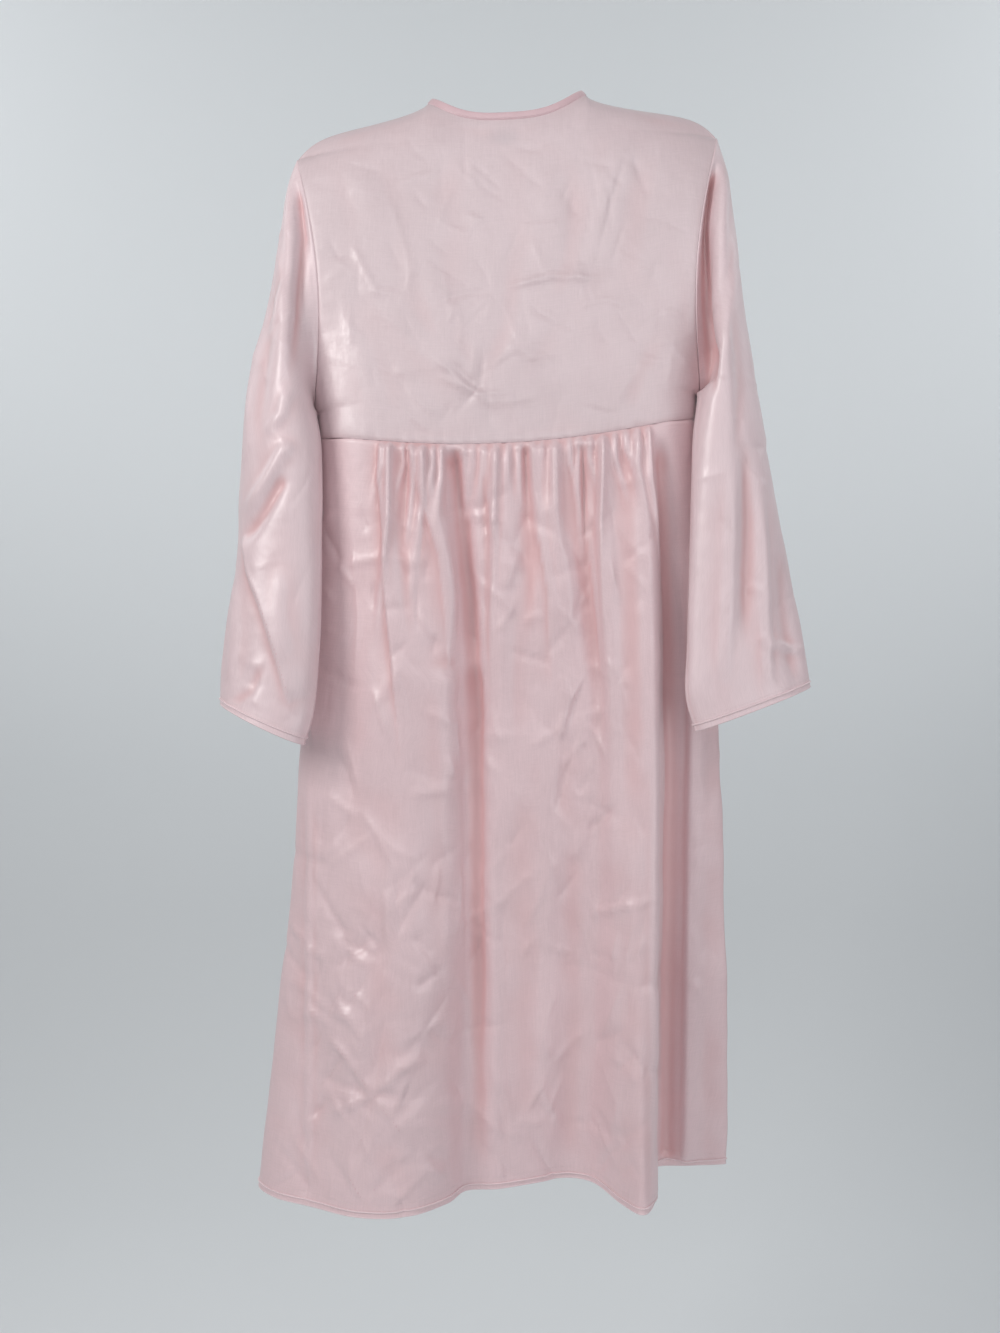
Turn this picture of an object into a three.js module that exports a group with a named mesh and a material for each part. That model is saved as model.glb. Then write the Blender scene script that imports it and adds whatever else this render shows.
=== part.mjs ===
// A long-sleeved satin gown with a deep yoke, a gathered skirt and a full-length front opening,
// hanging by its shoulders. Millimetres, +Z up, front towards -Y, the wearer's left towards +X.
// The origin is midway between the two neck points, where a hanger comes up through the neck.
// Each cloth panel is a thin closed sheet, and panels that are sewn together lie edge to edge.
import * as THREE from "three";

const { clamp, lerp, smoothstep, degToRad } = THREE.MathUtils;

// ---- cloth and clearances ----
const cloth = 1.2; // thickness of a panel
const lining = 0.8; // thickness of turned hems, facings and seam allowances
const gap = 0.5; // clearance between layers that lie on each other
const seamGap = 0.7; // half the distance between two panel edges that are sewn together

// ---- shoulders, neck and armholes ----
const neckHalfWidth = 79;
const shoulderHalfWidth = 209;
const shoulderDrop = 50; // neck point down to shoulder tip
const backNeckDrop = 32;
const frontNeckDrop = 118;
const armholeDepth = 256; // shoulder tip down to underarm
const armholeHalfDepth = 36; // half the armhole's width, front to back
const armholeScoop = 26; // how far the armhole edge runs in from the shoulder tip
const underarmInset = 17; // shoulder tip to underarm, sideways
const scoopAt = 0.62; // share of the armhole's depth where it runs in furthest
const neckDepth = 28; // centre plane to cloth just below the neck
const shoulderRidge = 14; // how quickly the cloth falls away from the shoulder line

// ---- yoke and skirt ----
const yokeSideSeam = 25; // underarm to yoke seam
const yokeSeamSag = 21; // how far the yoke seam dips in the middle
const yokeBackDepth = 48; // centre plane to back cloth at the yoke seam
const yokeFrontDepth = 46;
const gownLength = 1087; // neck point to hem
const frontGap = 3; // between the two front edges at the yoke
const skirtFrontGap = 6; // between the two front edges at the top of the skirt
const hangTilt = 0.052; // the shoulders hang lower on the left by this slope
const midLevel = 0.42; // share of the skirt's length where its middle section is given

// Half widths and depths of the skirt at its middle section and at its hem.
const midHalfLeft = 207;
const midHalfRight = 215;
const midBackDepth = 50;
const midFrontDepth = 60;
const hemHalfLeft = 250;
const hemHalfRight = 230;
const hemBackDepth = 64;
const hemFrontDepth = 76;

// ---- trims ----
const bindingWidth = 7.5;
const bindingThickness = 2.4;
const hemHeight = 15;
const cuffHemHeight = 12;
const pipingRadius = 1;
const hemPipingHeight = 6; // piping above the hem edge
const allowanceWidth = 9; // seam allowances inside the gown
const seamLean = 0.7; // how far the side seam allowances turn to the back at the hem
const facingWidth = 28;
const edgeHemWidth = 12;
const labelWidth = 32;
const labelHeight = 20;
const labelDrop = 12; // neck edge to label

// ---- buttons and loops ----
const buttonCount = 4;
const buttonRadius = 5.5;
const buttonHeight = 3.6;
const buttonInset = 8.5; // front edge to button centre
const firstButtonDrop = 18; // neck edge to first button
const buttonPitch = 56;
const shankRadius = 1.4;
const shankHeight = 2.2;
const loopRadius = 1;
const loopClearance = 0.7;

// ---- sleeves: the outer line runs down from the shoulder tip, the inner line from the underarm ----
const sleeveSpecs = {
  left: {
    side: 1,
    drop: 541, // shoulder tip down to the cuff's outer end
    spread: 66, // how far the cuff's outer end stands out from the shoulder tip
    bow: 0.75, // how far the outer line bulges
    cuffWidth: 86,
    cuffSlope: degToRad(26),
    cuffHalfDepth: 32,
    backShift: 42, // how far the cuff hangs towards the back
    tuck: 12, // how much further back the inner line lies
  },
  right: {
    side: -1,
    drop: 548,
    spread: 84,
    bow: -0.35,
    cuffWidth: 117,
    cuffSlope: degToRad(20),
    cuffHalfDepth: 23,
    backShift: 36,
    tuck: 30,
  },
};
const bicepsHalfDepth = 46;
// Shares of the outer and inner line that each stretch of the sleeve covers. The bend is the wedge
// of cloth at the underarm that folds when the sleeve lifts.
const sleeveStretches = {
  head: { outer: [0, 0.28], inner: [0, 0.01], rings: 6 },
  bend: { outer: [0.284, 0.472], inner: [0.019, 0.1], rings: 4 },
  sleeve: { outer: [0.476, 1], inner: [0.1045, 1], rings: 9 },
};
const sleeveSides = 22;

// ---- folds of the skirt ----
// Each column is a line down the cloth: its share of the half width at the yoke seam, then its
// share of half width and of depth at the middle section and at the hem.
const backColumns = [
  [0.985, [1.0, -0.15], [1.0, -0.12]],
  [0.94, [0.93, 0.28], [0.91, 0.34]],
  [0.8, [0.77, 0.68], [0.75, 0.66]],
  [0.64, [0.62, 1.0], [0.56, 1.0]],
  [0.48, [0.45, 1.04], [0.38, 0.97]],
  [0.34, [0.31, 0.8], [0.23, 0.53]],
  [0.26, [0.22, 0.44], [0.165, 0.12]],
  [0.1, [0.07, 0.62], [0.035, 0.04]],
  [-0.1, [-0.13, 0.7], [-0.15, -0.2]],
  [-0.3, [-0.3, 0.66], [-0.27, -0.34]],
  [-0.42, [-0.4, 0.64], [-0.37, -0.2]],
  [-0.52, [-0.48, 0.86], [-0.49, 0.58]],
  [-0.6, [-0.57, 1.0], [-0.56, 0.9]],
  [-0.68, [-0.66, 0.86], [-0.615, 0.56]],
  [-0.74, [-0.7, 0.45], [-0.64, -0.4]],
  [-0.82, [-0.78, 0.02], [-0.68, -0.74]],
  [-0.93, [-0.9, -0.06], [-0.84, -0.78]],
  [-0.985, [-1.0, -0.3], [-1.0, -0.86]],
];
const frontColumns = [
  [0.86, [0.8, -0.92], [0.82, -0.9]],
  [0.65, [0.62, -0.9], [0.64, -0.93]],
  [0.44, [0.44, -1.03], [0.46, -1.02]],
  [0.23, [0.25, -0.9], [0.27, -0.84]],
];
const sideSeamHem = { 1: [226, -52], "-1": [-212, -68] }; // where each side seam meets the hem
const frontEdgeHem = { 1: [22, -76], "-1": [-20, -76] }; // where each front edge meets the hem
const frontSeamShift = 2; // front panel's edge from the side seam line

const yokeHalfWidth = shoulderHalfWidth - underarmInset;
const armholeTop = -shoulderDrop;
const underarm = armholeTop - armholeDepth;
const yokeSideBottom = underarm - yokeSideSeam;

const parts = new THREE.Group();

const material = (color, roughness) =>
  new THREE.MeshStandardMaterial({ color, roughness, metalness: 0 });
const finishes = {
  satin: () => material(0xf3dadd, 0.45),
  binding: () => material(0xe8c3c8, 0.4),
  inside: () => material(0xeed3d6, 0.8),
  piping: () => material(0xf0cdd2, 0.4),
  button: () => material(0xe9c6cb, 0.35),
  label: () => material(0xf4f1ee, 0.7),
};

// ---- building closed meshes ----

function signedVolume(points, faces) {
  const cross = new THREE.Vector3();
  return faces.reduce(
    (sum, [a, b, c]) => sum + cross.crossVectors(points[b], points[c]).dot(points[a]) / 6,
    0,
  );
}

// Adds a mesh to the gown from points and triangles, with its faces turned outwards.
function addSolid(name, finish, points, faces) {
  const outward = signedVolume(points, faces) < 0;
  const index = faces.flatMap(([a, b, c]) => (outward ? [a, c, b] : [a, b, c]));
  const geometry = new THREE.BufferGeometry().setFromPoints(points);
  geometry.setIndex(index);
  geometry.computeVertexNormals();
  const mesh = new THREE.Mesh(geometry, finishes[finish]());
  mesh.name = name;
  parts.add(mesh);
  return mesh;
}

// Unit normal of surface(u, v), pointing out of the gown when out is right.
function surfaceNormal(surface, u, v, out, wraps) {
  const step = 1e-3;
  const [u0, u1] = wraps ? [u - step, u + step] : [Math.max(0, u - step), Math.min(1, u + step)];
  const acrossU = surface(u1, v).sub(surface(u0, v));
  const alongV = surface(u, Math.min(1, v + step)).sub(surface(u, Math.max(0, v - step)));
  return acrossU.cross(alongV).normalize().multiplyScalar(out);
}

// A sheet of cloth: surface(u, v) moved out by offset and thickened evenly to both sides.
function addSheet(name, finish, surface, options) {
  const { across, along, out, offset = 0, thickness = cloth, wraps = false } = options;
  const columns = wraps ? across : across + 1;
  const points = [];
  for (const face of [0.5, -0.5]) {
    for (let i = 0; i < columns; i++) {
      for (let j = 0; j <= along; j++) {
        const [u, v] = [i / across, j / along];
        const normal = surfaceNormal(surface, u, v, out, wraps);
        points.push(surface(u, v).addScaledVector(normal, offset + face * thickness));
      }
    }
  }
  const layer = columns * (along + 1);
  const at = (i, j, inner) => (i % columns) * (along + 1) + j + (inner ? layer : 0);
  const faces = [];
  const quad = (a, b, c, d) => faces.push([a, b, c], [a, c, d]);
  for (let i = 0; i < across; i++) {
    for (let j = 0; j < along; j++) {
      quad(at(i, j), at(i + 1, j), at(i + 1, j + 1), at(i, j + 1));
      quad(at(i, j + 1, 1), at(i + 1, j + 1, 1), at(i + 1, j, 1), at(i, j, 1));
    }
    quad(at(i + 1, 0), at(i, 0), at(i, 0, 1), at(i + 1, 0, 1));
    quad(at(i, along), at(i + 1, along), at(i + 1, along, 1), at(i, along, 1));
  }
  if (!wraps) {
    for (let j = 0; j < along; j++) {
      quad(at(0, j), at(0, j + 1), at(0, j + 1, 1), at(0, j, 1));
      quad(at(across, j + 1), at(across, j), at(across, j, 1), at(across, j + 1, 1));
    }
  }
  return addSolid(name, finish, points, faces);
}

// A bar lofted through rings of points; the rings are convex and all have the same count.
function addLoft(name, finish, rings, closed = false) {
  const count = rings[0].length;
  const last = closed ? rings.length : rings.length - 1;
  const at = (k, i) => (k % rings.length) * count + (i % count);
  const faces = [];
  for (let k = 0; k < last; k++) {
    for (let i = 0; i < count; i++) {
      faces.push([at(k, i), at(k, i + 1), at(k + 1, i + 1)]);
      faces.push([at(k, i), at(k + 1, i + 1), at(k + 1, i)]);
    }
  }
  if (!closed) {
    for (let i = 1; i < count - 1; i++) {
      faces.push([at(0, 0), at(0, i + 1), at(0, i)]);
      faces.push([at(last, 0), at(last, i), at(last, i + 1)]);
    }
  }
  return addSolid(name, finish, rings.flat(), faces);
}

// The four corners of a flat bar's section: centre, its wide direction and its thin direction.
function flatSection(centre, wide, thin, width, thickness) {
  const corner = (a, b) =>
    centre
      .clone()
      .addScaledVector(wide, a * width)
      .addScaledVector(thin, b * thickness);
  return [corner(0.5, 0.5), corner(-0.5, 0.5), corner(-0.5, -0.5), corner(0.5, -0.5)];
}

// A round cord lying on the outside of a surface along the line v = level(u).
function addCordOn(name, finish, surface, options) {
  const { steps, level, out, wraps = false, ends = [0, 1] } = options;
  const sides = 6;
  const rings = [];
  for (let k = 0; k < (wraps ? steps : steps + 1); k++) {
    const u = lerp(ends[0], ends[1], k / steps);
    const v = level(u);
    const normal = surfaceNormal(surface, u, v, out, wraps);
    const up = surface(u, v - 1e-3)
      .sub(surface(u, v))
      .normalize();
    const centre = surface(u, v).addScaledVector(normal, cloth / 2 + gap + pipingRadius);
    const ring = [];
    for (let i = 0; i < sides; i++) {
      const turn = (2 * Math.PI * i) / sides;
      ring.push(
        centre
          .clone()
          .addScaledVector(normal, pipingRadius * Math.cos(turn))
          .addScaledVector(up, pipingRadius * Math.sin(turn)),
      );
    }
    rings.push(ring);
  }
  return addLoft(name, finish, rings, wraps);
}

// ---- the yoke's outline and depth, before the tilt of the shoulders ----

function shoulderHeight(x) {
  const share = clamp(
    (Math.abs(x) - neckHalfWidth) / (shoulderHalfWidth - neckHalfWidth),
    0,
    1,
  );
  return -shoulderDrop * (0.62 * share ** 0.6 + 0.38 * share ** 8);
}

const neckShare = (x) => Math.min(1, Math.abs(x) / neckHalfWidth);
const backNeckHeight = (x) => -backNeckDrop * (1 - neckShare(x) ** 3);
const frontNeckHeight = (x) => -frontNeckDrop * (1 - neckShare(x) ** 1.6);
const seamHeight = (x) => yokeSideBottom - yokeSeamSag * (1 - (x / yokeHalfWidth) ** 2);

// Half width of the yoke at height z: the armhole's edge, and the side seam below it.
function armholeEdge(z) {
  const share = clamp((armholeTop - z) / armholeDepth, 0, 1);
  if (share < scoopAt) {
    return shoulderHalfWidth - armholeScoop * Math.sin((Math.PI / 2) * (share / scoopAt));
  }
  const past = (share - scoopAt) / (1 - scoopAt);
  return shoulderHalfWidth - armholeScoop + (armholeScoop - underarmInset) * past ** 2;
}

// Half the front-to-back width of the armhole at height z.
function armholeRim(z) {
  const share = (z - (armholeTop + underarm) / 2) / (armholeDepth / 2);
  return armholeHalfDepth * Math.sqrt(Math.max(0, 1 - share ** 2));
}

// A point of the yoke's cloth, on the back (face 1) or the front (face -1).
function yokePoint(x, z, face) {
  const full = face > 0 ? yokeBackDepth : yokeFrontDepth;
  const below = Math.max(0, shoulderHeight(x) - z);
  const fall = 1 - Math.exp(-below / shoulderRidge);
  const middle = lerp(neckDepth, full, clamp(z / seamHeight(0), 0, 1)) * fall;
  const share = Math.min(1, Math.abs(x) / armholeEdge(z));
  const depth = Math.max(cloth, lerp(middle, armholeRim(z), share ** 5));
  return new THREE.Vector3(x, face * depth, z - hangTilt * x);
}

// A patch of (x, z) points filled in between four edge curves.
function coons(bottom, top, start, end) {
  return (u, v) => {
    const mix = (i) =>
      lerp(bottom(u)[i], top(u)[i], v) +
      lerp(start(v)[i], end(v)[i], u) -
      lerp(lerp(bottom(0)[i], bottom(1)[i], u), lerp(top(0)[i], top(1)[i], u), v);
    return [mix(0), mix(1)];
  };
}

const yokeSide = (side) => (v) => {
  const z = lerp(yokeSideBottom, armholeTop, v);
  return [side * armholeEdge(z), z];
};

// Spreads the yoke's rows so that they close up towards the shoulder and the underarm.
function yokeRow(v) {
  const sideShare = yokeSideSeam / (yokeSideSeam + armholeDepth);
  if (v < yokeSideRow) return (sideShare * v) / yokeSideRow;
  const turn = (Math.PI * (v - yokeSideRow)) / (1 - yokeSideRow);
  return lerp(sideShare, 1, (1 - Math.cos(turn)) / 2);
}

const yokeRows = 12;
const yokeSideRow = 1 / yokeRows; // the lowest row is the side seam's
const backShoulderColumns = 8;
const backNeckColumns = 10;
const backYokeColumns = 2 * backShoulderColumns + backNeckColumns;

function backYokeSurface() {
  const shoulderShare = backShoulderColumns / backYokeColumns;
  const top = (u) => {
    const fromSide = Math.min(u, 1 - u);
    const side = u < 0.5 ? 1 : -1;
    if (fromSide < shoulderShare) {
      const x = side * lerp(shoulderHalfWidth, neckHalfWidth, fromSide / shoulderShare);
      return [x, shoulderHeight(x)];
    }
    const x = lerp(neckHalfWidth, -neckHalfWidth, (u - shoulderShare) / (1 - 2 * shoulderShare));
    return [x, backNeckHeight(x)];
  };
  const bottom = (u) => {
    const x = lerp(yokeHalfWidth, -yokeHalfWidth, u);
    return [x, seamHeight(x)];
  };
  const patch = coons(bottom, top, yokeSide(1), yokeSide(-1));
  return (u, v) => yokePoint(...patch(u, yokeRow(v)), 1);
}

function frontYokeSurface(side) {
  const edge = frontGap / 2;
  const top = (u) => {
    if (u < 0.5) {
      const x = lerp(shoulderHalfWidth, neckHalfWidth, u / 0.5);
      return [side * x, shoulderHeight(x)];
    }
    const x = lerp(neckHalfWidth, edge, (u - 0.5) / 0.5);
    return [side * x, frontNeckHeight(x)];
  };
  const bottom = (u) => {
    const x = lerp(yokeHalfWidth, edge, u);
    return [side * x, seamHeight(x)];
  };
  const frontEdge = (v) => [side * edge, lerp(seamHeight(edge), frontNeckHeight(edge), v)];
  const patch = coons(bottom, top, yokeSide(side), frontEdge);
  return (u, v) => yokePoint(...patch(u, yokeRow(v)), -1);
}

// ---- the skirt ----

// The value at share v of a smooth run from start, through middle at midLevel, to end.
function throughMiddle(start, middle, end, v) {
  return (
    (start * (v - midLevel) * (v - 1)) / midLevel +
    (middle * v * (v - 1)) / (midLevel * (midLevel - 1)) +
    (end * v * (v - midLevel)) / (1 - midLevel)
  );
}

const midHalf = (share) => (share > 0 ? midHalfLeft : midHalfRight);
const hemHalf = (share) => (share > 0 ? hemHalfLeft : hemHalfRight);

// One line down the skirt as {top, mid, hem}, each [x, y], with z added from v.
function skirtColumn([topShare, mid, hem], face, side = 1) {
  const x = side * topShare * yokeHalfWidth;
  const top = yokePoint(x, seamHeight(x), face);
  const [midDepth, hemDepth] =
    face > 0 ? [midBackDepth, hemBackDepth] : [midFrontDepth, hemFrontDepth];
  return {
    top,
    mid: [side * mid[0] * midHalf(side * mid[0]), mid[1] * midDepth],
    hem: [side * hem[0] * hemHalf(side * hem[0]), hem[1] * hemDepth],
  };
}

// The side seam, straight from the yoke's corner to the hem, set in by shift for the front panel.
function sideSeamColumn(side, face) {
  const top = yokePoint(side * yokeHalfWidth, seamHeight(yokeHalfWidth), face);
  const shift = face < 0 ? frontSeamShift : 0;
  const hem = [sideSeamHem[side][0] - side * shift, sideSeamHem[side][1] - shift];
  const mid = [lerp(top.x, hem[0], midLevel), lerp(top.y, hem[1], midLevel)];
  return { top, mid, hem };
}

// The free front edge, straight from the yoke seam to the hem.
function frontEdgeColumn(side) {
  const x = (side * skirtFrontGap) / 2;
  const top = yokePoint(x, seamHeight(x), -1);
  const hem = frontEdgeHem[side];
  return { top, mid: [lerp(top.x, hem[0], midLevel), lerp(top.y, hem[1], midLevel)], hem };
}

// surface(u, v) of a skirt panel through its columns, v running from the yoke seam to the hem.
function skirtSurface(columns) {
  const levels = new Map();
  return (u, v) => {
    if (!levels.has(v)) {
      const points = columns.map(({ top, mid, hem }) => {
        const x = throughMiddle(top.x, mid[0], hem[0], v);
        const y = throughMiddle(top.y, mid[1], hem[1], v);
        return new THREE.Vector3(x, y, lerp(top.z - 2 * seamGap, -gownLength, v));
      });
      levels.set(v, new THREE.CatmullRomCurve3(points, false, "centripetal"));
    }
    return levels.get(v).getPoint(clamp(u, 0, 1));
  };
}

const backSkirtSurface = skirtSurface([
  sideSeamColumn(1, 1),
  ...backColumns.map((column) => skirtColumn(column, 1)),
  sideSeamColumn(-1, 1),
]);
const frontSkirtSurface = (side) =>
  skirtSurface([
    sideSeamColumn(side, -1),
    ...frontColumns.map((column) => skirtColumn(column, -1, side)),
    frontEdgeColumn(side),
  ]);

const skirtLength = gownLength + seamHeight(0);
const skirtShare = (height) => 1 - height / skirtLength; // v at a height above the hem

// ---- the sleeves ----

// Outer and inner line of a sleeve in the (x, z) plane, each by its own share from 0 to 1.
function sleeveLines(spec) {
  const { side, drop, spread, bow, cuffWidth, cuffSlope } = spec;
  const tipZ = armholeTop - side * hangTilt * shoulderHalfWidth;
  const outer = (s) => [
    side * (shoulderHalfWidth + 2 * seamGap + spread * (s + bow * s * (1 - s))),
    tipZ - drop * s,
  ];
  const underarmPoint = [
    side * (yokeHalfWidth + 2 * seamGap),
    underarm - side * hangTilt * yokeHalfWidth,
  ];
  const [outX, outZ] = outer(1);
  const cuffInner = [
    outX - side * cuffWidth * Math.cos(cuffSlope),
    outZ - cuffWidth * Math.sin(cuffSlope),
  ];
  const inner = (s) => [
    lerp(underarmPoint[0], cuffInner[0], s),
    lerp(underarmPoint[1], cuffInner[1], s),
  ];
  return { outer, inner };
}

function sleeveSurface(spec, stretch) {
  const { side, cuffHalfDepth, backShift, tuck } = spec;
  const { outer, inner } = sleeveLines(spec);
  // How far the armhole seam stands in from the straight line between shoulder tip and underarm.
  const scoopAcross = (reach) => {
    const x = lerp(inner(0)[0], outer(0)[0], reach);
    const z = lerp(inner(0)[1], outer(0)[1], reach);
    return side * (armholeEdge(z + hangTilt * x) + 2 * seamGap) - x;
  };
  return (u, v) => {
    const s = lerp(...stretch.outer, v);
    const [outerX, outerZ] = outer(s);
    const [innerX, innerZ] = inner(lerp(...stretch.inner, v));
    const turn = 2 * Math.PI * u;
    const reach = (1 + Math.cos(turn)) / 2;
    const z = lerp(innerZ, outerZ, reach);
    const nearArmhole = Math.max(0, 1 - s / sleeveStretches.head.outer[1]) ** 2;
    const x = lerp(innerX, outerX, reach) + nearArmhole * scoopAcross(reach);
    const half =
      s < 0.3
        ? lerp(armholeHalfDepth, bicepsHalfDepth, smoothstep(s, 0, 0.3))
        : lerp(bicepsHalfDepth, cuffHalfDepth, smoothstep(s, 0.3, 1));
    const back = backShift * s ** 1.5 + tuck * (1 - reach) * smoothstep(s, 0, 0.4);
    const y = half * Math.sin(turn) + back;
    return new THREE.Vector3(x, y, z);
  };
}

// ---- making the pieces ----

function addYoke() {
  addSheet("back_yoke", "satin", backYokeSurface(), {
    across: backYokeColumns,
    along: yokeRows,
    out: 1,
  });
  for (const [name, side] of [["left", 1], ["right", -1]]) {
    addSheet("front_yoke_" + name, "satin", frontYokeSurface(side), {
      across: 16,
      along: yokeRows,
      out: -side,
    });
  }
}

// Strips on the inside of the yoke: x and z from share functions, one layer in from the panel.
function addYokeStrip(name, finish, face, x, z, across, along, thickness = lining) {
  const surface = (u, v) => yokePoint(x(u), z(x(u), v), face);
  const out = Math.sign(x(0) - x(1)) * face;
  const offset = -(cloth / 2 + gap + thickness / 2);
  addSheet(name, finish, surface, { across, along, out, offset, thickness });
}

function addYokeInsides() {
  const inset = 6; // keeps the strips clear of the side seams
  const aboveSeam = (x, v) => seamHeight(x) + lerp(1, 1 + allowanceWidth, v);
  const wide = (u) => lerp(yokeHalfWidth - inset, inset - yokeHalfWidth, u);
  addYokeStrip("back_yoke_seam", "inside", 1, wide, aboveSeam, 20, 1);
  for (const [name, side] of [["left", 1], ["right", -1]]) {
    const edge = frontGap / 2;
    const facingX = (u) => side * lerp(edge + facingWidth, edge, u);
    const facingZ = (x, v) =>
      lerp(seamHeight(x) + allowanceWidth + 3, frontNeckHeight(x) - 1, v);
    addYokeStrip("front_facing_" + name, "inside", -1, facingX, facingZ, 5, 6);
    const seamX = (u) => side * lerp(yokeHalfWidth - inset, edge, u);
    addYokeStrip("front_yoke_seam_" + name, "inside", -1, seamX, aboveSeam, 12, 1);
  }
  const labelX = (u) => lerp(labelWidth / 2, -labelWidth / 2, u);
  const labelZ = (x, v) => -backNeckDrop - lerp(labelDrop + labelHeight, labelDrop, v);
  addYokeStrip("neck_label", "label", 1, labelX, labelZ, 4, 2, 0.6);
}

// The binding round the neck: one bar from the left front edge, round the back, to the right one.
function addNeckBinding() {
  const edge = frontGap / 2;
  const stations = [];
  for (let k = 0; k < 10; k++) {
    const x = lerp(edge, neckHalfWidth, (k / 10) ** 0.8);
    stations.push(yokePoint(x, frontNeckHeight(x), -1));
  }
  for (let k = 0; k <= 16; k++) {
    const x = neckHalfWidth * Math.cos((Math.PI * k) / 16);
    const point = yokePoint(x, backNeckHeight(x), 1);
    if (k % 16 === 0) point.y = 0;
    stations.push(point);
  }
  for (let k = 9; k >= 0; k--) {
    const x = -lerp(edge, neckHalfWidth, (k / 10) ** 0.8);
    stations.push(yokePoint(x, frontNeckHeight(x), -1));
  }
  const rings = stations.map((point, k) => {
    const before = stations[Math.max(0, k - 1)];
    const after = stations[Math.min(stations.length - 1, k + 1)];
    const along = after.clone().sub(before).normalize();
    const inward = new THREE.Vector3((-0.9 * point.x) / neckHalfWidth, 0, 1);
    inward.addScaledVector(along, -inward.dot(along)).normalize();
    const thin = new THREE.Vector3().crossVectors(inward, along);
    const centre = point.clone().addScaledVector(inward, 2 * seamGap + bindingWidth / 2);
    return flatSection(centre, inward, thin, bindingWidth, bindingThickness);
  });
  addLoft("neck_binding", "binding", rings);
}

// Seam allowances under the shoulder seams and round the armholes.
function addShoulderSeams() {
  const seamDrop = 7; // how far below the shoulder line they lie
  for (const [name, side] of [["left", 1], ["right", -1]]) {
    const rings = [];
    for (let k = 0; k <= 8; k++) {
      const x = side * lerp(neckHalfWidth + 5, shoulderHalfWidth - 24, k / 8);
      const height = shoulderHeight(x) - seamDrop;
      // the room between the front and back cloth at this height, less a clearance on each side
      const room = [1, -1].map((face) => Math.abs(yokePoint(x, height, face).y) - cloth / 2 - gap);
      const width = Math.min(allowanceWidth - 3, 2 * Math.min(...room));
      const centre = new THREE.Vector3(x, 0, height - hangTilt * x);
      const wide = new THREE.Vector3(0, 1, 0);
      const thin = new THREE.Vector3(0, 0, 1);
      rings.push(flatSection(centre, wide, thin, width, lining));
    }
    addLoft("shoulder_seam_" + name, "inside", rings);
  }
}

function addArmholeSeams() {
  const inset = 3.4; // inside the cloth of the yoke and the sleeve head
  const centreZ = (armholeTop + underarm) / 2;
  const steps = 24;
  for (const [name, side] of [["left", 1], ["right", -1]]) {
    const rings = [];
    for (let k = 0; k < steps; k++) {
      const turn = (2 * Math.PI * k) / steps;
      const [up, across] = [Math.cos(turn), Math.sin(turn)];
      const z = centreZ + (armholeDepth / 2 - inset) * up;
      const x = side * (armholeEdge(z) - 3.2);
      const y = (armholeHalfDepth - inset) * across;
      const wide = new THREE.Vector3(1, 0, 0);
      const thin = new THREE.Vector3(0, across, up).normalize();
      const centre = new THREE.Vector3(x, y, z - hangTilt * x);
      rings.push(flatSection(centre, wide, thin, allowanceWidth - 1, lining));
    }
    addLoft("armhole_seam_" + name, "inside", rings, true);
  }
}

function addSkirt() {
  const backAcross = 57;
  addSheet("back_skirt", "satin", backSkirtSurface, { across: backAcross, along: 9, out: -1 });
  const backTurned = (u, v) => backSkirtSurface(u, lerp(skirtShare(hemHeight), 1, v));
  const turned = { offset: -(cloth / 2 + gap + lining / 2), thickness: lining };
  addSheet("back_hem", "inside", backTurned, { across: backAcross, along: 1, out: -1, ...turned });
  const level = () => skirtShare(hemPipingHeight);
  addCordOn("back_hem_piping", "piping", backSkirtSurface, { steps: backAcross, level, out: -1 });
  for (const [name, side] of [["left", 1], ["right", -1]]) {
    const surface = frontSkirtSurface(side);
    const across = 20;
    const out = side;
    addSheet("front_skirt_" + name, "satin", surface, { across, along: 9, out });
    const hem = (u, v) => surface(u, lerp(skirtShare(hemHeight), 1, v));
    addSheet("front_hem_" + name, "inside", hem, { across, along: 1, out, ...turned });
    addCordOn("front_hem_piping_" + name, "piping", surface, { steps: across, level, out });
    const edgeShare = edgeHemWidth / (hemHalf(side) - Math.abs(frontEdgeHem[side][0]));
    const edge = (u, v) =>
      surface(lerp(1 - edgeShare, 1, u), lerp(0.005, skirtShare(hemHeight + 3), v));
    addSheet("front_edge_hem_" + name, "inside", edge, { across: 2, along: 9, out, ...turned });
  }
}

// Seam allowances that stand inwards from the side seams of the skirt.
function addSideSeams() {
  for (const [name, side] of [["left", 1], ["right", -1]]) {
    const front = frontSkirtSurface(side);
    const backEnd = side > 0 ? 0 : 1;
    const rings = [];
    for (let k = 0; k <= 10; k++) {
      const v = lerp(0.01, skirtShare(hemHeight + 4), k / 10);
      const seam = backSkirtSurface(backEnd, v).lerp(front(0, v), 0.5);
      const inward = new THREE.Vector3(-side, seamLean * v, 0).normalize();
      const thin = new THREE.Vector3(-inward.y, inward.x, 0);
      const centre = seam.addScaledVector(inward, 4 + allowanceWidth / 2);
      rings.push(flatSection(centre, inward, thin, allowanceWidth, lining));
    }
    addLoft("side_seam_" + name, "inside", rings);
  }
}

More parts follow.
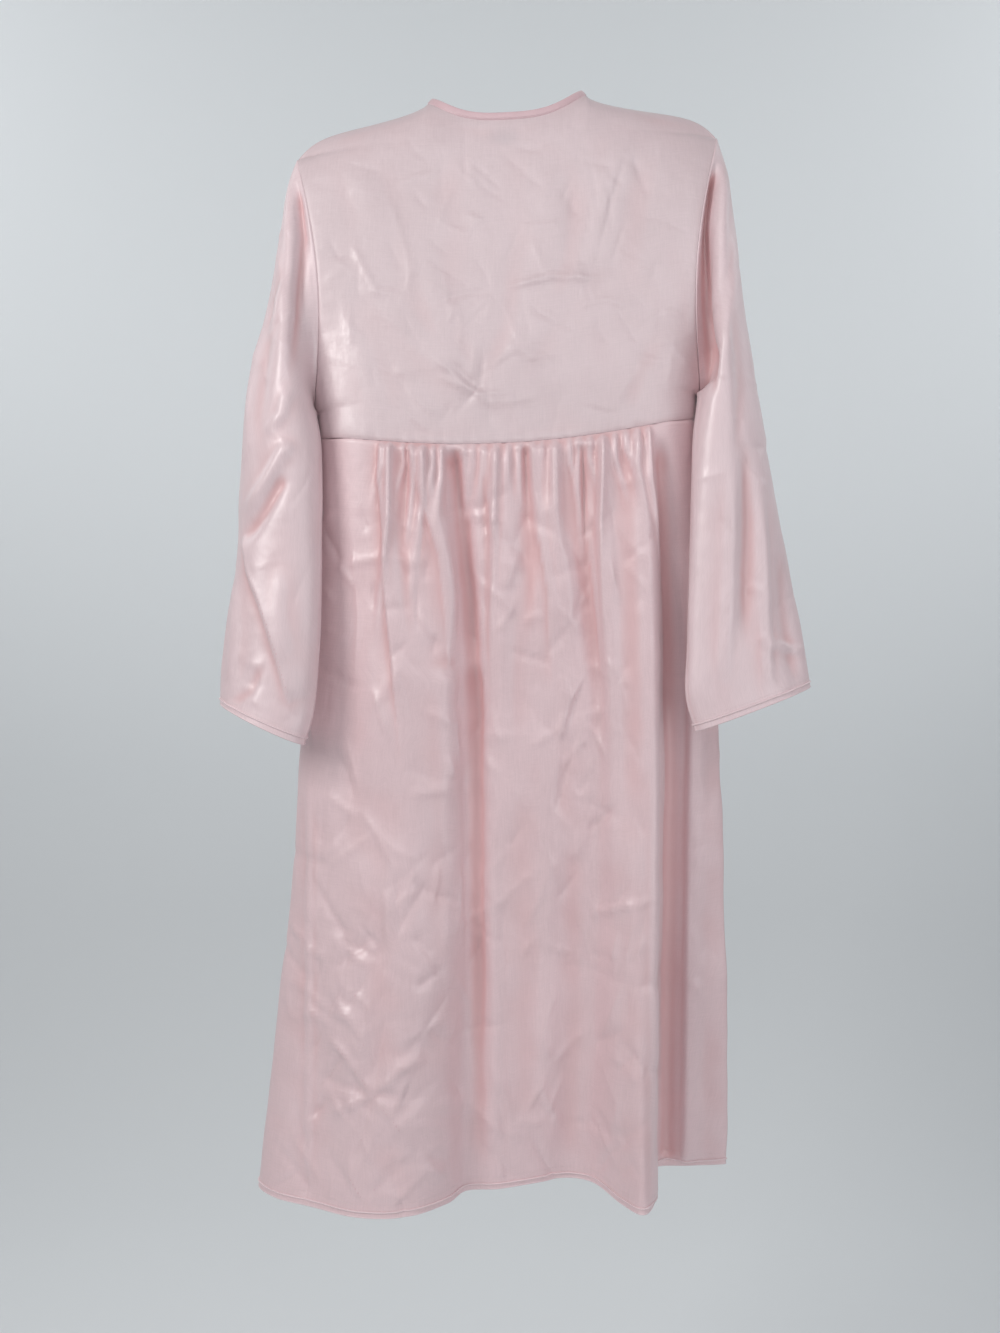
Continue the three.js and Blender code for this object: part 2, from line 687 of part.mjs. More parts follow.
function addSleeves() {
  for (const [name, spec] of Object.entries(sleeveSpecs)) {
    const out = -spec.side;
    for (const [piece, stretch] of Object.entries(sleeveStretches)) {
      const label = piece === "sleeve" ? piece : "sleeve_" + piece;
      addSheet(label + "_" + name, "satin", sleeveSurface(spec, stretch), {
        across: sleeveSides,
        along: stretch.rings,
        out,
        wraps: true,
      });
    }
    const surface = sleeveSurface(spec, sleeveStretches.sleeve);
    const length = spec.drop * (1 - sleeveStretches.sleeve.outer[0]);
    const hem = (u, v) => surface(u, lerp(1 - cuffHemHeight / length, 1, v));
    addSheet("cuff_hem_" + name, "inside", hem, {
      across: sleeveSides,
      along: 1,
      out,
      offset: -(cloth / 2 + gap + lining / 2),
      thickness: lining,
      wraps: true,
    });
    addCordOn("cuff_piping_" + name, "piping", surface, {
      steps: sleeveSides,
      level: () => 1 - hemPipingHeight / length,
      out,
      wraps: true,
    });
    addSleeveSeam(name, surface, 1 - (cuffHemHeight + 4) / length);
  }
}

// The sleeve seam's allowance, standing into the sleeve from its inner line.
function addSleeveSeam(name, surface, end) {
  const rings = [];
  for (let k = 0; k <= 8; k++) {
    const v = lerp(0.01, end, k / 8);
    const seam = surface(0.5, v);
    const wide = surface(0, v).sub(seam).normalize();
    const thin = new THREE.Vector3(0, 1, 0);
    const centre = seam.addScaledVector(wide, 3 + allowanceWidth / 2);
    rings.push(flatSection(centre, wide, thin, allowanceWidth, lining));
  }
  addLoft("sleeve_seam_" + name, "inside", rings);
}

// ---- buttons on the left front edge, caught by loops on the right one ----

// A turned piece whose axis points out of the gown's front, its base at the given point.
function addTurned(name, finish, profile, base, segments) {
  const geometry = new THREE.LatheGeometry(
    profile.map(([r, h]) => new THREE.Vector2(r, h)),
    segments,
  );
  const mesh = new THREE.Mesh(geometry, finishes[finish]());
  mesh.name = name;
  mesh.rotation.x = Math.PI;
  mesh.position.copy(base);
  parts.add(mesh);
}

function addButtonLoop(name, centre) {
  const reach = buttonRadius + loopRadius + loopClearance;
  const tail = buttonInset + frontGap + 5;
  const outline = [[-tail, 2.2], [-reach, 4.4]];
  for (const angle of [120, 80, 40, 0, -40, -80, -120]) {
    const turn = degToRad(angle);
    outline.push([reach * Math.cos(turn), reach * Math.sin(turn)]);
  }
  outline.push([-reach, -4.4], [-tail, -2.2]);
  const points = outline.map(([x, z]) => new THREE.Vector3(centre.x + x, centre.y, centre.z + z));
  const section = new THREE.Shape();
  for (let i = 0; i < 6; i++) {
    const turn = (Math.PI * i) / 3;
    const [x, y] = [loopRadius * Math.cos(turn), loopRadius * Math.sin(turn)];
    if (i) section.lineTo(x, y);
    else section.moveTo(x, y);
  }
  const geometry = new THREE.ExtrudeGeometry(section, {
    steps: 22,
    extrudePath: new THREE.CatmullRomCurve3(points),
  });
  const mesh = new THREE.Mesh(geometry, finishes.piping());
  mesh.name = name;
  parts.add(mesh);
}

function addButtons() {
  const x = frontGap / 2 + buttonInset;
  for (let k = 0; k < buttonCount; k++) {
    const z = -frontNeckDrop - firstButtonDrop - buttonPitch * k;
    const skin = yokePoint(x, z, -1);
    const outside = (distance) => skin.clone().setY(skin.y - cloth / 2 - distance);
    const number = k + 1;
    addTurned(
      "button_shank_" + number,
      "piping",
      [[0, 0], [shankRadius, 0], [shankRadius, shankHeight], [0, shankHeight]],
      outside(gap),
      12,
    );
    addTurned(
      "button_" + number,
      "button",
      [
        [0, 0],
        [buttonRadius - 0.6, 0],
        [buttonRadius, 0.9],
        [buttonRadius * 0.86, 0.62 * buttonHeight],
        [buttonRadius * 0.5, 0.92 * buttonHeight],
        [0, buttonHeight],
      ],
      outside(2 * gap + shankHeight),
      20,
    );
    addButtonLoop("button_loop_" + number, outside(gap + loopRadius));
  }
}

addYoke();
addYokeInsides();
addNeckBinding();
addShoulderSeams();
addArmholeSeams();
addSkirt();
addSideSeams();
addSleeves();
addButtons();

export default parts;
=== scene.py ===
import math

import bpy
import numpy as np
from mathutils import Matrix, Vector


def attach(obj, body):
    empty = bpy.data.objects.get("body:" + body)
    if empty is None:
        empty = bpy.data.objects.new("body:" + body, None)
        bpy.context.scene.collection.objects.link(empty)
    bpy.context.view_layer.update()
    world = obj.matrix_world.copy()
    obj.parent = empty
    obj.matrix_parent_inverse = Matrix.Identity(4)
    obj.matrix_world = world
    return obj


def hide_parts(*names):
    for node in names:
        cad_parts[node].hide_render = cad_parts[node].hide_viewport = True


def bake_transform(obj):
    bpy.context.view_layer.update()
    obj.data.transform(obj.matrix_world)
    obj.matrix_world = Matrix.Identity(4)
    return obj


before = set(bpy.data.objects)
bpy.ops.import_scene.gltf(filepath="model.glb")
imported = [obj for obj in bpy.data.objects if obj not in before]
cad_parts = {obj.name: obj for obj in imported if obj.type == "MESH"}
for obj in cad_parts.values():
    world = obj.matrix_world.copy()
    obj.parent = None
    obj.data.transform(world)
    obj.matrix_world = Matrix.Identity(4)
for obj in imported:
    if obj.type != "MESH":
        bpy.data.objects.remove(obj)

# A long-sleeved satin gown hanging by its shoulders, seen from its back.
# Lengths are millimetres up to new_object(), which turns them into metres.
# Lights, the camera and the backdrop are in metres.

MM = 0.001
TAU = 2 * math.pi
SIDES = {"left": 1, "right": -1}
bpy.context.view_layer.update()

# ---- cloth ----
CLOTH = 0.7  # thickness of a panel
STRIP = 0.5  # thickness of hems, facings and allowances
GAP = 0.35  # clearance between layers that lie on each other
INNER_LAYER = -(CLOTH / 2 + GAP + STRIP / 2)  # where a strip lies that is turned in under a panel

# ---- shoulders, neck and armholes, as in the CAD model ----
NECK_HALF = 79
SHOULDER_HALF = 209
SHOULDER_DROP = 50
BACK_NECK_DROP = 32
FRONT_NECK_DROP = 118
ARMHOLE_DEPTH = 256
ARMHOLE_HALF_DEPTH = 36
ARMHOLE_SCOOP = 26
UNDERARM_INSET = 17
SCOOP_AT = 0.62
NECK_DEPTH = 28
SHOULDER_RIDGE = 14

# ---- yoke and skirt, as in the CAD model ----
YOKE_SIDE_SEAM = 25
YOKE_SEAM_SAG = 21
YOKE_BACK_DEPTH = 48
YOKE_FRONT_DEPTH = 46
GOWN_LENGTH = 1087
FRONT_GAP = 3
SKIRT_FRONT_GAP = 6
HANG_TILT = 0.052
MID_LEVEL = 0.42
MID_HALF = {1: 207, -1: 215}
HEM_HALF = {1: 250, -1: 230}
MID_DEPTH = {1: 50, -1: 60}  # back, front
HEM_DEPTH = {1: 64, -1: 76}
SIDE_SEAM_HEM = {1: (226, -52), -1: (-212, -68)}
FRONT_EDGE_HEM = {1: (22, -76), -1: (-20, -76)}
FRONT_SEAM_SHIFT = 2
BACK_COLUMNS = [
    (0.985, (1.0, -0.15), (1.0, -0.12)),
    (0.94, (0.93, 0.28), (0.91, 0.34)),
    (0.8, (0.77, 0.68), (0.75, 0.66)),
    (0.64, (0.62, 1.0), (0.56, 1.0)),
    (0.48, (0.45, 1.04), (0.38, 0.97)),
    (0.34, (0.31, 0.8), (0.23, 0.53)),
    (0.26, (0.22, 0.44), (0.165, 0.12)),
    (0.1, (0.07, 0.62), (0.035, 0.04)),
    (-0.1, (-0.13, 0.7), (-0.15, -0.2)),
    (-0.3, (-0.3, 0.66), (-0.27, -0.34)),
    (-0.42, (-0.4, 0.64), (-0.37, -0.2)),
    (-0.52, (-0.48, 0.86), (-0.49, 0.58)),
    (-0.6, (-0.57, 1.0), (-0.56, 0.9)),
    (-0.68, (-0.66, 0.86), (-0.615, 0.56)),
    (-0.74, (-0.7, 0.45), (-0.64, -0.4)),
    (-0.82, (-0.78, 0.02), (-0.68, -0.74)),
    (-0.93, (-0.9, -0.06), (-0.84, -0.78)),
    (-0.985, (-1.0, -0.3), (-1.0, -0.86)),
]
FRONT_COLUMNS = [
    (0.86, (0.8, -0.92), (0.82, -0.9)),
    (0.65, (0.62, -0.9), (0.64, -0.93)),
    (0.44, (0.44, -1.03), (0.46, -1.02)),
    (0.23, (0.25, -0.9), (0.27, -0.84)),
]

# ---- sleeves, as in the CAD model ----
SLEEVES = {
    "left": dict(cuff_half=32, back=40, tuck=24, length=541),
    "right": dict(cuff_half=23, back=36, tuck=32, length=548),
}
SLEEVE_OUTER = {
    "left": [(209.3, -60.9), (217, -86), (223.6, -128), (229, -165), (235, -202), (245, -253),
             (253, -296), (259, -344), (262, -398), (262.5, -446), (265, -487), (271.5, -524),
             (276, -566), (276, -602)],
    "right": [(-209.3, -39.1), (-219, -72), (-226, -128), (-229, -165), (-232, -202),
              (-238, -246), (-245, -296), (-255, -360), (-266, -423), (-278, -492),
              (-287, -540), (-293.5, -586)],
}
SLEEVE_INNER = {
    "left": [(192.3, -316), (186, -344), (183.5, -400), (183, -452), (183, -502),
             (185, -566), (189, -612), (197, -640)],
    "right": [(-192.3, -296), (-184, -345), (-181, -394), (-178, -462), (-175, -552),
              (-174, -596), (-182, -627)],
}
BICEPS_HALF_DEPTH = 46
UNDERARM_LAP = 5  # how far a sleeve's inner line laps over the gown's side

# ---- trims ----
BINDING_WIDTH = 7.5
BINDING_THICKNESS = 2.6
HEM_HEIGHT = 15
CUFF_HEM_HEIGHT = 12
PIPING_HEIGHT = 5.5
PIPING_RADIUS = 0.9
EDGE_RADIUS = 0.8
ALLOWANCE = 9
SEAM_LEAN = 0.7
FACING = 28
EDGE_HEM = 12
LABEL_WIDTH = 32
LABEL_HEIGHT = 20
LABEL_DROP = 12
BUTTONS = 4
BUTTON_RADIUS = 5.5
BUTTON_HEIGHT = 3.6
BUTTON_INSET = 8.5
FIRST_BUTTON_DROP = 18
BUTTON_PITCH = 56
LOOP_RADIUS = 0.9

# ---- colours, linear ----
PINK = (0.76, 0.595, 0.618)
PINK_YOKE_PAINTED_SHADE = (0.675, 0.54, 0.56)  # painted shade: a darker, greyer copy of the satin for the back yoke, matched to how it is lit
PINK_SKIRT_PAINTED_SHADE = (0.76, 0.57, 0.592)  # painted shade: a pinker copy of the satin for the skirt, matched to how it is lit
PINK_INSIDE = (0.72, 0.50, 0.53)
ROSE = (0.68, 0.475, 0.505)
PEARL = (0.78, 0.58, 0.61)
FINE_VALLEY = 1.0  # this far below the cloth close by counts as the bottom of a fold
BROAD_VALLEY = 3.2  # and this far below the cloth a little further off
FOLD_SHADE_SALMON = (0.70, 0.40, 0.40)  # painted shade: salmon put at the bottom of a fold for the shade and bounced light there
TAPE = (0.80, 0.79, 0.77)
LABEL_SHADOW = (0.42, 0.40, 0.43)
BACKDROP = (0.83, 0.855, 0.87)

# ---- lengths used for spacing and for how far an edge's effect reaches ----
BACK_YOKE_WIDTH = 400
FRONT_YOKE_WIDTH = 200
YOKE_LENGTH = 330
SKIRT_LENGTH = 745
SLEEVE_RUN = 560

# ---- seam allowances under the shoulders and round the armholes ----
SHOULDER_SEAM_DROP = 5.5
SHOULDER_SEAM_INSET = (5, 24)  # from the neck point and from the shoulder point
ARMHOLE_SEAM_INSET = 3.4
ARMHOLE_SEAM_SHIFT = 3.2

# ---- camera, in metres ----
CAMERA_PLACE = (0.007, 1.150, -0.5665)
HALF_FRAME = 0.6665  # half the height that the camera sees at the gown
SENSOR = 36

YOKE_HALF = SHOULDER_HALF - UNDERARM_INSET
ARMHOLE_TOP = -SHOULDER_DROP
UNDERARM = ARMHOLE_TOP - ARMHOLE_DEPTH
YOKE_SIDE_BOTTOM = UNDERARM - YOKE_SIDE_SEAM


# ================= small maths =================

def lerp(a, b, t):
    return a + (b - a) * t


def smooth(x, low, high):
    t = np.clip((x - low) / (high - low), 0, 1)
    return t * t * (3 - 2 * t)


def stack(*parts):
    return np.stack(np.broadcast_arrays(*parts), axis=-1).astype(float)


def unit(vectors):
    return vectors / np.maximum(np.linalg.norm(vectors, axis=-1, keepdims=True), 1e-9)


def graded(length, fine, coarse, reach=12):
    """Shares from 0 to 1 that lie close together at both ends and wider apart in between."""
    steps = [0.0]
    while steps[-1] < length / 2:
        steps.append(steps[-1] + lerp(fine, coarse, min(1, steps[-1] / reach)))
    half = np.array(steps) / steps[-1] / 2
    return np.concatenate([half, 1 - half[-2::-1]])


def smooth_curve(points, t):
    """A centripetal Catmull-Rom curve through points (K, D), at shares t from 0 to 1."""
    points = np.asarray(points, float)
    ends = (2 * points[0] - points[1], 2 * points[-1] - points[-2])
    padded = np.vstack([ends[0], points, ends[1]])
    place = np.clip(t, 0, 1) * (len(points) - 1)
    first = np.minimum(place.astype(int), len(points) - 2)
    w = (place - first)[:, None]
    p0, p1, p2, p3 = (padded[first + k] for k in range(4))
    d0, d1, d2 = (np.linalg.norm(b - a, axis=1, keepdims=True) ** 0.5
                  for a, b in ((p0, p1), (p1, p2), (p2, p3)))
    m1 = ((p1 - p0) / d0 - (p2 - p0) / (d0 + d1) + (p2 - p1) / d1) * d1
    m2 = ((p2 - p1) / d1 - (p3 - p1) / (d1 + d2) + (p3 - p2) / d2) * d1
    a3 = 2 * p1 - 2 * p2 + m1 + m2
    a2 = -3 * p1 + 3 * p2 - 2 * m1 - m2
    return ((a3 * w + a2) * w + m1) * w + p1


def even_shares(curve, count):
    """Shares at which curve(t) is cut into pieces of equal length."""
    t = np.linspace(0, 1, 2000)
    runs = np.linalg.norm(np.diff(curve(t), axis=0), axis=1)
    length = np.concatenate([[0], np.cumsum(runs)])
    return np.interp(np.linspace(0, length[-1], count + 1), length, t)


def ripple(x, z, scale, seed):
    """A smooth uneven field from -1 to 1, about scale across, always the same for one seed."""
    rng = np.random.default_rng(seed)
    total = np.zeros(np.broadcast(x, z).shape)
    for _ in range(7):
        angle = rng.uniform(0, math.pi)
        pitch = scale * rng.uniform(0.7, 1.7)
        total = total + np.sin(
            TAU * (x * math.cos(angle) + z * math.sin(angle)) / pitch + rng.uniform(0, TAU)
        )
    return total / 4


# ================= the gown's surfaces =================

def shoulder_height(x):
    share = np.clip((np.abs(x) - NECK_HALF) / (SHOULDER_HALF - NECK_HALF), 0, 1)
    return -SHOULDER_DROP * (0.62 * share**0.6 + 0.38 * share**8)


def neck_share(x):
    return np.minimum(1, np.abs(x) / NECK_HALF)


def back_neck_height(x):
    return -BACK_NECK_DROP * (1 - neck_share(x) ** 3)


def front_neck_height(x):
    return -FRONT_NECK_DROP * (1 - neck_share(x) ** 1.6)


def seam_height(x):
    return YOKE_SIDE_BOTTOM - YOKE_SEAM_SAG * (1 - (x / YOKE_HALF) ** 2)


def armhole_edge(z):
    share = np.clip((ARMHOLE_TOP - z) / ARMHOLE_DEPTH, 0, 1)
    upper = SHOULDER_HALF - ARMHOLE_SCOOP * np.sin(math.pi / 2 * np.minimum(share / SCOOP_AT, 1))
    past = np.clip((share - SCOOP_AT) / (1 - SCOOP_AT), 0, 1)
    lower = SHOULDER_HALF - ARMHOLE_SCOOP + (ARMHOLE_SCOOP - UNDERARM_INSET) * past**2
    return np.where(share < SCOOP_AT, upper, lower)


def armhole_rim(z):
    share = (z - (ARMHOLE_TOP + UNDERARM) / 2) / (ARMHOLE_DEPTH / 2)
    return ARMHOLE_HALF_DEPTH * np.sqrt(np.maximum(0, 1 - share**2))


def yoke_point(x, z, face):
    """A point of the yoke's cloth, on the back (face 1) or the front (face -1)."""
    full = YOKE_BACK_DEPTH if face > 0 else YOKE_FRONT_DEPTH
    fall = 1 - np.exp(-np.maximum(0, shoulder_height(x) - z) / SHOULDER_RIDGE)
    middle = lerp(NECK_DEPTH, full, np.clip(z / seam_height(0), 0, 1)) * fall
    share = np.minimum(1, np.abs(x) / armhole_edge(z))
    rounding = 5 + 5 * smooth(-z, 180, 290)
    depth = np.maximum(0.3, lerp(middle, armhole_rim(z), share**rounding))
    return stack(x, face * depth, z - HANG_TILT * x)


def coons(bottom, top, start, end, u, v):
    """Fills in (x, z) between four edges; u runs along bottom and top, v from bottom to top."""
    u, v = u[:, None, None], v[None, :, None]
    across = lerp(bottom[:, None, :], top[:, None, :], v)
    along = lerp(start[None, :, :], end[None, :, :], u)
    corners = lerp(lerp(bottom[0], bottom[-1], u), lerp(top[0], top[-1], u), v)
    return across + along - corners


def yoke_side(side, v):
    z = lerp(YOKE_SIDE_BOTTOM, ARMHOLE_TOP, v)
    return stack(side * armhole_edge(z), z)


def back_yoke_grid(spacing):
    u = graded(420, 1.2, spacing)
    v = graded(YOKE_LENGTH, 1.0, spacing)
    corner = 0.3077  # share of the top edge along each shoulder
    from_side = np.minimum(u, 1 - u)
    side = np.where(u < 0.5, 1, -1)
    shoulder_x = side * lerp(SHOULDER_HALF, NECK_HALF, np.minimum(1, from_side / corner))
    neck_x = lerp(NECK_HALF, -NECK_HALF, np.clip((u - corner) / (1 - 2 * corner), 0, 1))
    on_neck = from_side > corner
    top_x = np.where(on_neck, neck_x, shoulder_x)
    top = stack(top_x, np.where(on_neck, back_neck_height(top_x), shoulder_height(top_x)))
    bottom_x = lerp(YOKE_HALF, -YOKE_HALF, u)
    bottom = stack(bottom_x, seam_height(bottom_x))
    flat = coons(bottom, top, yoke_side(1, v), yoke_side(-1, v), u, v)
    return yoke_point(flat[..., 0], flat[..., 1], 1), u, v


def front_yoke_grid(side, spacing):
    edge = FRONT_GAP / 2
    u = graded(210, 1.2, spacing)
    v = graded(YOKE_LENGTH, 1.0, spacing)
    top_x = np.where(u < 0.5, lerp(SHOULDER_HALF, NECK_HALF, u / 0.5),
                     lerp(NECK_HALF, edge, (u - 0.5) / 0.5))
    top_z = np.where(u < 0.5, shoulder_height(top_x), front_neck_height(top_x))
    bottom_x = lerp(YOKE_HALF, edge, u)
    front_edge = stack(side * edge, lerp(seam_height(edge), front_neck_height(edge), v))
    flat = coons(stack(side * bottom_x, seam_height(bottom_x)), stack(side * top_x, top_z),
                 yoke_side(side, v), front_edge, u, v)
    return yoke_point(flat[..., 0], flat[..., 1], -1), u, v


def through_middle(start, middle, end, v):
    """A smooth run from start, through middle at MID_LEVEL, to end."""
    m = MID_LEVEL
    return (start * (v - m) * (v - 1) / m
            + middle * v * (v - 1) / (m * (m - 1))
            + end * v * (v - m) / (1 - m))


def skirt_columns(face, side=1):
    """The lines down a skirt panel, each as its points at the yoke seam, the middle and the hem."""
    rows = []
    for top_share, mid, hem in BACK_COLUMNS if face > 0 else FRONT_COLUMNS:
        x = side * top_share * YOKE_HALF
        half = 1 if side * mid[0] > 0 else -1
        rows.append((yoke_point(np.array(x), seam_height(x), face),
                     (side * mid[0] * MID_HALF[half], mid[1] * MID_DEPTH[face]),
                     (side * hem[0] * HEM_HALF[half], hem[1] * HEM_DEPTH[face])))
    return rows


def straight_column(top, hem):
    return top, tuple(lerp(np.array(top[:2]), np.array(hem), MID_LEVEL)), hem


def side_column(side, face):
    top = yoke_point(np.array(side * YOKE_HALF), seam_height(YOKE_HALF), face)
    shift = FRONT_SEAM_SHIFT / 2 if face < 0 else 0
    hem = SIDE_SEAM_HEM[side]
    return straight_column(top, (hem[0] - side * shift, hem[1] - shift))


def front_edge_column(side):
    x = side * SKIRT_FRONT_GAP / 2
    return straight_column(yoke_point(np.array(x), seam_height(x), -1), FRONT_EDGE_HEM[side])


BACK_SKIRT = [side_column(1, 1), *skirt_columns(1), side_column(-1, 1)]
FRONT_SKIRT = {side: [side_column(side, -1), *skirt_columns(-1, side), front_edge_column(side)]
               for side in (1, -1)}


def skirt_row(columns, t, v):
    """Points of a skirt panel at shares t across, one level v down from the yoke seam."""
    points = [(through_middle(top[0], mid[0], hem[0], v),
               through_middle(top[1], mid[1], hem[1], v),
               lerp(top[2] - 0.05, -GOWN_LENGTH, v)) for top, mid, hem in columns]
    return smooth_curve(points, t)


def skirt_grid(columns, width, spacing):
    def at_hem(t):
        return skirt_row(columns, t, 0.8)
    v = graded(SKIRT_LENGTH, 0.9, 1.55 * spacing, 24)
    t = even_shares(at_hem, int(width / spacing))
    grid = np.stack([skirt_row(columns, t, level) for level in v], axis=1)
    return grid, t, v


def sleeve_lines(name, s):
    """Outer and inner line of a sleeve as (x, z), for shares s from the armhole to the cuff."""
    return smooth_curve(SLEEVE_OUTER[name], s), smooth_curve(SLEEVE_INNER[name], s**3.2)


def sleeve_grid(name, spacing):
    """The sleeve as a tube: u turns from the outer line over the back, v runs to the cuff."""
    spec, side = SLEEVES[name], SIDES[name]
    u = np.linspace(0, 1, int(360 / spacing) + 1)
    v = graded(570, 1.0, spacing)
    turn = TAU * u[:, None]
    s = v[None, :]
    outer, inner = sleeve_lines(name, v)
    reach = (1 + np.cos(turn)) / 2
    flat = lerp(inner[None], outer[None], reach[..., None])
    first = lerp(inner[0], outer[0], reach)
    scoop = side * armhole_edge(first[:, 1:] + HANG_TILT * first[:, :1]) - first[:, :1]
    near = np.maximum(0, 1 - s / 0.28) ** 2
    half = np.where(
        s < 0.3,
        lerp(ARMHOLE_HALF_DEPTH, BICEPS_HALF_DEPTH, smooth(s, 0, 0.3)),
        lerp(BICEPS_HALF_DEPTH, spec["cuff_half"], smooth(s, 0.3, 1)),
    )
    lean = spec["back"] * s**1.5 + spec["tuck"] * (1 - reach) * smooth(s, 0, 0.4)
    y = half * np.sin(turn) + lean
    inward = side * UNDERARM_LAP * (1 - reach) * smooth(s, 0.02, 0.25)
    return stack(flat[..., 0] + near * scoop - inward, y, flat[..., 1]), u, v


# ================= folds and creases =================

def along_line(x, z, line):
    """Signed distance of each (x, z) from a polyline, and its share of the way along it."""
    line = np.asarray(line, float)
    runs = np.linalg.norm(np.diff(line, axis=0), axis=1)
    before = np.concatenate([[0], np.cumsum(runs)])
    best = np.full(np.shape(x), 1e9)
    signed, share = np.zeros(np.shape(x)), np.zeros(np.shape(x))
    for (ax, az), (bx, bz), start, run in zip(line[:-1], line[1:], before, runs):
        dx, dz = (bx - ax) / run, (bz - az) / run
        t = np.clip((x - ax) * dx + (z - az) * dz, 0, run)
        off_x, off_z = x - ax - t * dx, z - az - t * dz
        distance = np.hypot(off_x, off_z)
        closer = distance < best
        best = np.where(closer, distance, best)
        signed = np.where(closer, np.sign(off_x * dz - off_z * dx) * distance, signed)
        share = np.where(closer, (start + t) / before[-1], share)
    return signed, share


def near_line(x, z, line, reach):
    low, high = np.min(line, axis=0) - reach, np.max(line, axis=0) + reach
    return (x > low[0]) & (x < high[0]) & (z > low[1]) & (z < high[1])


def fold(x, z, line, width, height, start=0.0, end=0.5, lean=0.0):
    """A rounded ridge (or valley) along a line; it fades in and out over these shares of it."""
    near = near_line(x, z, line, 3 * width)
    signed, share = along_line(x[near], z[near], line)
    fade = smooth(share, 0, start) if start else 1.0
    if end:
        fade = fade * (1 - smooth(share, 1 - end, 1))
    d = signed / width
    relief = np.zeros(x.shape)
    relief[near] = height * fade * np.exp(-d * d) * (1 + lean * np.tanh(2 * d))
    return relief


def ledge(x, z, line, width, height, reach, start=0.15, end=0.3):
    """A step down: the cloth on the -X side of a line that runs down is raised near the line."""
    near = near_line(x, z, line, 3 * reach)
    signed, share = along_line(x[near], z[near], line)
    fade = smooth(share, 0, start) * (1 - smooth(share, 1 - end, 1))
    relief = np.zeros(x.shape)
    relief[near] = height * fade * smooth(signed, -width, width) * np.exp(
        -((np.maximum(0, signed) / reach) ** 2))
    return relief


def crease(x, z, line, width, height):
    """A pressed line in the cloth, sharp along the middle and tapered at both ends."""
    near = near_line(x, z, line, 4 * width)
    signed, share = along_line(x[near], z[near], line)
    fade = smooth(share, 0, 0.3) * (1 - smooth(share, 0.6, 1))
    relief = np.zeros(x.shape)
    relief[near] = height * fade * np.exp(-np.abs(signed) / width)
    return relief


def star(x, z, centre, rays, width, height):
    """Creases that run out from one point; rays are (angle in degrees, length)."""
    total = np.zeros(x.shape)
    for n, (angle, length) in enumerate(rays):
        turn = math.radians(angle)
        start = (centre[0] - 8 * math.cos(turn), centre[1] - 8 * math.sin(turn))
        end = (centre[0] + length * math.cos(turn), centre[1] + length * math.sin(turn))
        total += crease(x, z, [start, end], width, height * (1 if n % 2 else -0.8))
    return total


def scatter(x, z, low, high, count, seed, tilt, spread, width, height):
    """Many small creases over a region; tilt and spread set their direction, in degrees."""
    rng = np.random.default_rng(seed)
    total = np.zeros(x.shape)
    for _ in range(count):
        centre = rng.uniform(low, high)
        turn = math.radians(rng.normal(tilt, spread))
        half = rng.uniform(12, 38)
        step = np.array((math.cos(turn), math.sin(turn))) * half
        bend = np.array((-step[1], step[0])) * rng.uniform(-0.12, 0.12)
        line = [centre - step, centre + bend, centre + step]
        rise = height * rng.uniform(0.4, 1.0) * rng.choice((-1, 1))
        total += crease(x, z, line, width * rng.uniform(0.6, 1.4), rise)
    return total


def yoke_relief(x, z):
    """Drape of the back yoke, and its pressed creases, as two reliefs."""
    relief = 1.5 * ripple(x, z * 0.6, 150, 3) + 0.22 * ripple(x, z, 42, 4)
    for line, width, height in [
        ([(150, -60), (128, -130), (118, -220)], 17, 1.6),
        ([(-118, -40), (-100, -110), (-82, -190)], 13, 2.0),
        ([(-140, -60), (-128, -130), (-112, -220)], 15, -1.6),
        ([(66, -50), (52, -140), (46, -250)], 20, -1.6),
        ([(-30, -60), (-44, -150), (-26, -250)], 18, 1.5),
        ([(-70, -60), (-66, -140), (-40, -260)], 12, -1.3),
        ([(30, -300), (84, -250), (150, -180)], 13, 1.4),
        ([(20, -300), (-30, -240), (-100, -150)], 13, 1.3),
        ([(28, -310), (0, -240), (-14, -120)], 12, -1.4),
        ([(36, -310), (60, -250), (88, -120)], 11, 1.1),
        ([(120, -330), (134, -280), (160, -220)], 11, 1.2),
        ([(-110, -330), (-130, -280), (-160, -230)], 11, -1.2),
    ]:
        relief += fold(x, z, line, width, height, 0.3, 0.5)
    creases = np.zeros(x.shape)
    for line, height in [
        ([(12, -203), (-42, -190), (-112, -192)], 1.5),
        ([(-38, -192), (-30, -170), (-22, -146)], 0.7),
        ([(70, -214), (40, -206), (8, -204)], -0.8),
        ([(54, -212), (52, -226), (58, -238)], 0.8),
        ([(8, -202), (-10, -250), (30, -300)], 0.5),
        ([(-119, -57), (-97, -132), (-82, -190)], -1.0),
        ([(152, -154), (138, -184), (119, -215)], 0.9),
        ([(-60, -222), (-96, -212), (-128, -222)], 0.6),
        ([(80, -262), (36, -300), (4, -322)], 1.2),
        ([(22, -252), (26, -296), (58, -334)], -1.1),
        ([(-10, -304), (26, -304), (78, -284)], 0.8),
        ([(60, -268), (38, -290), (8, -312)], -1.0),
        ([(120, -96), (96, -170), (92, -240)], 0.5),
        ([(142, -262), (104, -290), (84, -328)], -0.6),
        ([(-142, -262), (-112, -300), (-96, -330)], 0.5),
    ]:
        creases += crease(x, z, line, 3.4, 2.0 * height)
    creases += star(x, z, (34, -292), [(20, 40), (95, 46), (150, 60), (215, 42), (300, 30)], 4, 1.0)
    creases += scatter(x, z, (-170, -330), (170, -60), 110, 101, 60, 45, 3.0, 1.3)
    return relief, creases


